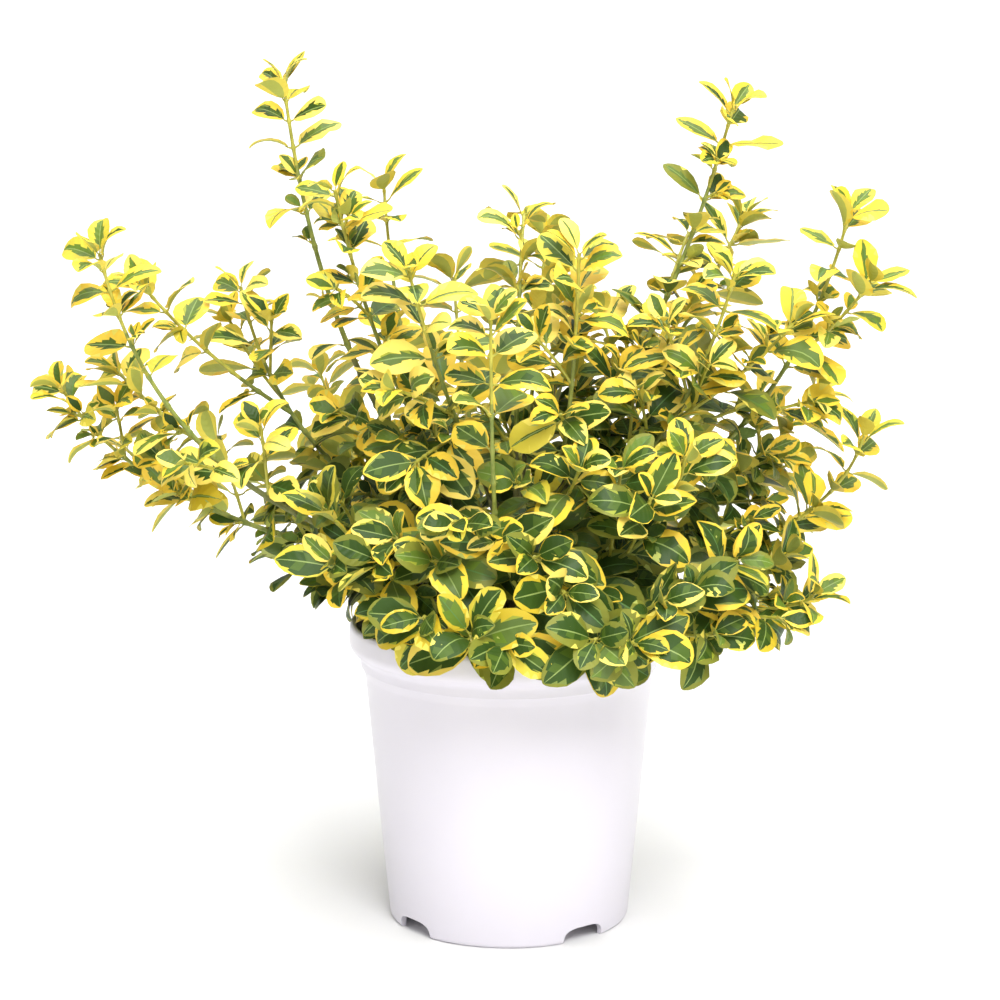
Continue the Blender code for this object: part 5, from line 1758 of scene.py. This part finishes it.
        # Painted shade: leaves deep in the crown or covered take the darker undersides.
        hidden = np.maximum(inner, cover)
        sage = (tone_start(Tone.UNDER) + 1 + (hidden > rng.uniform(0.2, 0.7, count)))[:, None] * band
        pale = np.where(hidden > 0.5, tone_start(Tone.UNDER) + 1, tone_start(Tone.UNDER))[:, None] * band
        if grade.top == Grades.SMALL.value.top:
            above = np.stack([yellow, green, green, yellow], axis=-1)
            above[:, -1] = yellow[:, :1]
            both = np.where(rng.uniform(0, 1, (count, 1)) < 0.5, pale, sage)
            return above, np.stack([both, both], axis=-1), []
        shade = data["shade"][:, None]
        chance = rng.uniform(0, 1, (count, bands, 6))
        other = green + np.where(green % 2 == tone_start(Tone.GREEN) % 2, 1, -1)
        flecked = [np.where(chance[..., i] < 0.76, green, other) for i in (0, 1)]
        teeth = []
        full = np.zeros((count, bands, 2), bool)
        full[:, 1:-1] = 0.5 * (share[:, :-1] + share[:, 1:]) > 0.86
        for i in (2, 3):
            closed = full[..., i - 2]
            wide = chance[..., i + 2]
            cases = [closed, wide < 0.58 - 0.22 * shade, wide < 0.74]
            behind = np.select(cases, [green, yellow, streak], green)
            picks = [closed | (chance[..., i] < 0.74), chance[..., i] < 0.88]
            tooth = np.select(picks, [green, streak], np.where(behind == yellow, yellow, green))
            teeth += [tooth, behind]
        above = np.stack([yellow, teeth[0], flecked[0], rib, flecked[1], teeth[2], yellow], axis=-1)
        above[:, -1] = yellow[:, :1]
        return above, np.stack([pale, sage, sage, pale], axis=-1), [tooth[:, 1:-1] for tooth in teeth]

    def petioles(self, data: Arrays) -> tuple[np.ndarray, list[np.ndarray]]:
        """Leaf stalks: five-sided tubes of four rings, from inside the stem to just inside the blade."""
        sides, rings = 5, 4
        count = len(data["length"])
        shares = np.linspace(0.0, 1.0, rings)
        length = self.crown.petiole_share * data["length"] + 0.0012
        sag = -0.10 * length[:, None] * np.sin(math.pi * shares)[None]
        path = data["root"][:, None] + data["along"][:, None] * (length[:, None] * shares)[..., None]
        path = path + sag[..., None] * np.array([0.0, 0.0, 1.0])
        radius = np.clip(data["length"] * 0.021, 0.00030, 0.00062)[:, None] * (1.25 - 0.55 * shares)[None]
        angle = np.arange(sides) * math.tau / sides
        side = np.cross(data["along"], data["normal"])
        spokes = (
            np.cos(angle)[None, None, :, None] * side[:, None, None]
            - np.sin(angle)[None, None, :, None] * data["normal"][:, None, None]
        )
        points = path[:, :, None] + radius[..., None, None] * spokes
        ring = np.arange(sides)
        caps = np.stack([ring[::-1], (rings - 1) * sides + ring])
        faces = [repeated(part, rings * sides, count) for part in (ring_faces(rings, sides), caps)]
        return points.reshape(-1, 3), faces

    def build(self) -> list[bpy.types.Object]:
        """Make one piece of blades for each region, and dress it."""
        finishes = [finish.make() for tone in Tone for finish in tone.value]
        rng = np.random.default_rng(self.seed)
        made = []
        for number, region in enumerate(Region):
            shape = Mesh()
            here = self.data["region"] == number
            for grade in Grades:
                large = grade is Grades.LARGE
                chosen = here & ((self.data["length"] >= self.small_below) == large)
                if chosen.any():
                    shape.add(*self.blades(self.part(chosen), grade.value, rng))
            piece = shape.make(f"{region.value}_leaves", finishes, "blade", 65.0)
            nodes = [f"{shoot.name}_foliage" for shoot in SHOOTS if shoot.region is region]
            made.append(settle(piece, nodes))
        return made


class Bark(Enum):
    """Bark of the shoots by age, and of the boughs."""

    YOUNG = BarkFinish("young_shoot", linear(150, 150, 52), linear(190, 184, 72), 0.45, 320.0, 0.0001)
    MATURE = BarkFinish("green_shoot", linear(104, 120, 46), linear(146, 152, 66), 0.55, 320.0, 0.0002)
    OLD = BarkFinish("olive_shoot", linear(84, 92, 44), linear(124, 126, 66), 0.65, 320.0, 0.0003)
    BOUGH = BarkFinish("bough_bark", linear(78, 82, 42), linear(124, 122, 70), 0.75, 380.0, 0.0005)


@dataclass
class Stems:
    """Twigs, leaf stalks and boughs, as fine tubes with swollen nodes."""

    crown: Crown
    foliage: Foliage
    thicker: float = 1.04
    rosette_thinness: float = 0.75
    root_swelling: Triple = (1.5, 1.35, 1.12)
    leading_age: float = 0.03
    young_reach: float = 0.075
    mature_reach: float = 0.17
    twig_sides: int = 8
    bough_sides: int = 18
    ring_spacing: float = 0.0040
    bough_spacing: float = 0.0011
    swelling: float = 0.42
    swelling_reach: float = 0.0013

    def nodes_of(self, twig: Twig) -> np.ndarray:
        """Distances along a twig at which its nodes stand."""
        backs = self.crown.node_distances(twig.axis.length - twig.bare)
        return twig.axis.length - np.array(backs)

    def twig_tube(self, twig: Twig, start: float) -> tuple[np.ndarray, list[np.ndarray], np.ndarray]:
        """A twig from a distance along it to its tip: rings crowd at its nodes, where it swells."""
        nodes = self.nodes_of(twig)
        even = twig.axis.spaced(start, self.ring_spacing)
        offsets = np.array([-1.6, -0.8, 0.0, 0.8, 1.6]) * self.swelling_reach
        marks = (nodes[nodes > start][:, None] + offsets).ravel()
        distance = np.unique(np.clip(np.concatenate([even, marks]), start, twig.axis.length))
        distance = distance[np.concatenate([[True], np.diff(distance) > 0.0002])]
        radii = self.thicker * self.crown.twig_radius(twig.axis.length - distance)
        if twig.rosette:
            radii *= self.rosette_thinness
        near = np.exp(-(((distance[:, None] - nodes[None]) / self.swelling_reach) ** 2)).max(axis=1)
        radii = radii * (1.0 + self.swelling * near)
        points, faces = tube(twig.axis.at(distance), radii, self.twig_sides)
        return points, faces, distance

    def ages(self, twig: Twig, distance: np.ndarray) -> list[np.ndarray]:
        """Slots of a twig's faces: young at the tip, then mature, then old, by the distance to the tip."""
        leading = len(twig.key) == 2 and twig.key[1] == 0
        to_tip = twig.axis.length - distance[:-1] + (self.leading_age if leading else 0.0)
        slots = np.select([to_tip < self.young_reach, to_tip < self.mature_reach], [0, 1], 2)
        quads = np.repeat(slots, self.twig_sides)
        caps = np.repeat([slots[0], slots[-1]], self.twig_sides)
        return [quads, caps]

    def rooted(self, index: int) -> np.ndarray:
        """Points that lead a shoot's curve out of the woody stem's middle, below its seat."""
        start = self.crown.twigs[index][0].axis.points[0]
        stem = self.crown.stem
        height = start[2] - stem.foot
        centre = stem.centre(max(height - 0.002, 0.002))
        return np.array([centre, 0.45 * centre + 0.55 * start])

    def bough(self, index: int) -> tuple[np.ndarray, list[np.ndarray]]:
        """A bough with low ridges along it, from inside the woody stem to where its mass begins."""
        axis = self.crown.twigs[index][0].axis
        end = self.crown.bough_ends[index]
        distance = np.linspace(0.0, end + 0.001, max(6, int(end / self.bough_spacing)))
        path = np.concatenate([self.rooted(index), axis.at(distance)])
        whole = np.concatenate([[0.0, 0.0], distance])
        radii = self.thicker * self.crown.twig_radius(axis.length - whole)
        radii[:3] *= self.root_swelling
        angle = np.arange(self.bough_sides) * math.tau / self.bough_sides
        ridges = 0.045 * np.sin(5 * angle[None] + 70 * whole[:, None] + index)
        ridges = ridges + 0.03 * np.sin(3 * angle[None] - 420 * whole[:, None] + 2.0 * index)
        return tube(path, radii[:, None] * (1.0 + ridges), self.bough_sides)

    def build(self) -> list[bpy.types.Object]:
        """Make the twigs, stalks and boughs of each region, and dress them."""
        young, mature, old, bough_bark = [bark.value.make() for bark in Bark]
        made = []
        for number, region in enumerate(Region):
            twigs, boughs = Mesh(), Mesh()
            members = [i for i, shoot in enumerate(SHOOTS) if shoot.region is region]
            for index in members:
                for twig in self.crown.twigs[index]:
                    leading = twig is self.crown.twigs[index][0]
                    start = self.crown.bough_ends[index] if leading else 0.0
                    points, faces, distance = self.twig_tube(twig, start)
                    twigs.add(points, faces, self.ages(twig, distance))
                if SHOOTS[index].bough:
                    boughs.add(*self.bough(index))
            part = self.foliage.part(self.foliage.data["region"] == number)
            stalks, faces = self.foliage.petioles(part)
            tones = np.where(part["inner"] > 0.5, 1, 0)
            twigs.add(stalks, faces, [np.repeat(tones, len(faces[0]) // len(tones)), np.repeat(tones, 2)])
            foliage = [f"{SHOOTS[i].name}_foliage" for i in members]
            piece = twigs.make(f"{region.value}_twigs", [young, mature, old], None, 80.0)
            made.append(settle(piece, foliage))
            named = [f"{SHOOTS[i].name}_bough" for i in members if SHOOTS[i].bough]
            if named:
                piece = boughs.make(f"{region.value}_boughs", [bough_bark], None, 80.0)
                made.append(settle(piece, named))
        return made


class Lamp(NamedTuple):
    """A square soft light: its name, its place, the point that it faces, its size and its power."""

    name: str
    place: Triple
    aim: Triple
    size: float
    power: float


LAMPS = (
    Lamp("key", (0.42, -1.80, 1.85), (0.0, 0.0, 0.22), 1.1, 54.0),
    Lamp("ceiling", (0.15, 0.3, 2.8), (0.0, 0.3, 0.0), 3.0, 102.0),
)


@dataclass
class Studio:
    """The pale floor, the glowing wall, the soft lights and the camera at the photograph's angle."""

    camera_place: Triple = (-0.00463, -1.5492, 0.5273)
    camera_pitch: float = 0.196
    lens: float = 110.95
    floor_reach: float = 3.0
    wall_radius: float = 2.35
    wall_height: float = 2.7
    wall_sides: int = 72
    wall_glow: float = 1.02
    world_light: float = 0.44

    def sheet(
        self, name: str, corners: np.ndarray, faces: np.ndarray, material: bpy.types.Material
    ) -> bpy.types.Object:
        """A stage piece of quads."""
        shape = Mesh()
        shape.add(corners, [faces])
        obj = shape.make(name, [material], None, None)
        return obj

    def surround(self) -> None:
        """The floor, and the round wall behind it, which looks white and gives the plant no light."""
        reach = self.floor_reach
        floor = reach * np.array([(-1.0, -1.0, 0.0), (1.0, -1.0, 0.0), (1.0, 1.0, 0.0), (-1.0, 1.0, 0.0)])
        self.sheet("studio_floor", floor, np.array([[0, 1, 2, 3]]), FloorFinish().make())
        angle = np.arange(self.wall_sides) * math.tau / self.wall_sides
        ring = self.wall_radius * np.stack([np.cos(angle), np.sin(angle), 0 * angle], axis=-1)
        corners = np.concatenate([ring, ring + (0.0, 0.0, self.wall_height)])
        finish = FloorFinish("glowing_wall", (0.2, 0.2, 0.2), 0.9, self.wall_glow).make()
        wall = self.sheet("studio_wall", corners, ring_faces(2, self.wall_sides)[:, ::-1], finish)
        wall.visible_diffuse = False
        wall.visible_glossy = False

    def light(self, lamp: Lamp) -> None:
        """Hang one lamp and turn it to its point."""
        data = bpy.data.lights.new(lamp.name, "AREA")
        data.size = lamp.size
        data.energy = lamp.power
        obj = bpy.data.objects.new(lamp.name, data)
        obj.location = lamp.place
        direction = Vector(lamp.aim) - Vector(lamp.place)
        obj.rotation_euler = direction.to_track_quat("-Z", "Y").to_euler()
        bpy.context.scene.collection.objects.link(obj)

    def world(self) -> None:
        """An even white surround."""
        world = bpy.data.worlds.new("studio")
        world.use_nodes = True
        surround = world.node_tree.nodes["Background"]
        surround.inputs["Color"].default_value = (1.0, 1.0, 1.0, 1.0)
        surround.inputs["Strength"].default_value = self.world_light
        bpy.context.scene.world = world

    def camera(self) -> None:
        """The camera, level across and pitched down a little."""
        data = bpy.data.cameras.new("camera")
        data.lens = self.lens
        data.sensor_width = 36.0
        data.clip_start = 0.05
        data.clip_end = 50.0
        obj = bpy.data.objects.new("camera", data)
        obj.location = self.camera_place
        obj.rotation_euler = (math.pi / 2 - self.camera_pitch, 0.0, 0.0)
        bpy.context.scene.collection.objects.link(obj)
        bpy.context.scene.camera = obj

    def build(self) -> None:
        """Set up the studio."""
        self.camera()
        self.surround()
        self.world()
        for lamp in LAMPS:
            self.light(lamp)
        bpy.context.scene.view_settings.view_transform = "Standard"


def main() -> None:
    """Build the pot, its filling and the plant, then the studio."""
    logging.basicConfig(level=logging.INFO, format="%(name)s: %(message)s")
    pot = NurseryPot()
    pot.build()
    PottingMix().build()
    stem = WoodyStem()
    stem.build()
    crown = Crown(stem=stem, pot=pot)
    foliage = Foliage(crown)
    foliage.build()
    Stems(crown, foliage).build()
    Studio().build()


if __name__ == "__main__":
    main()
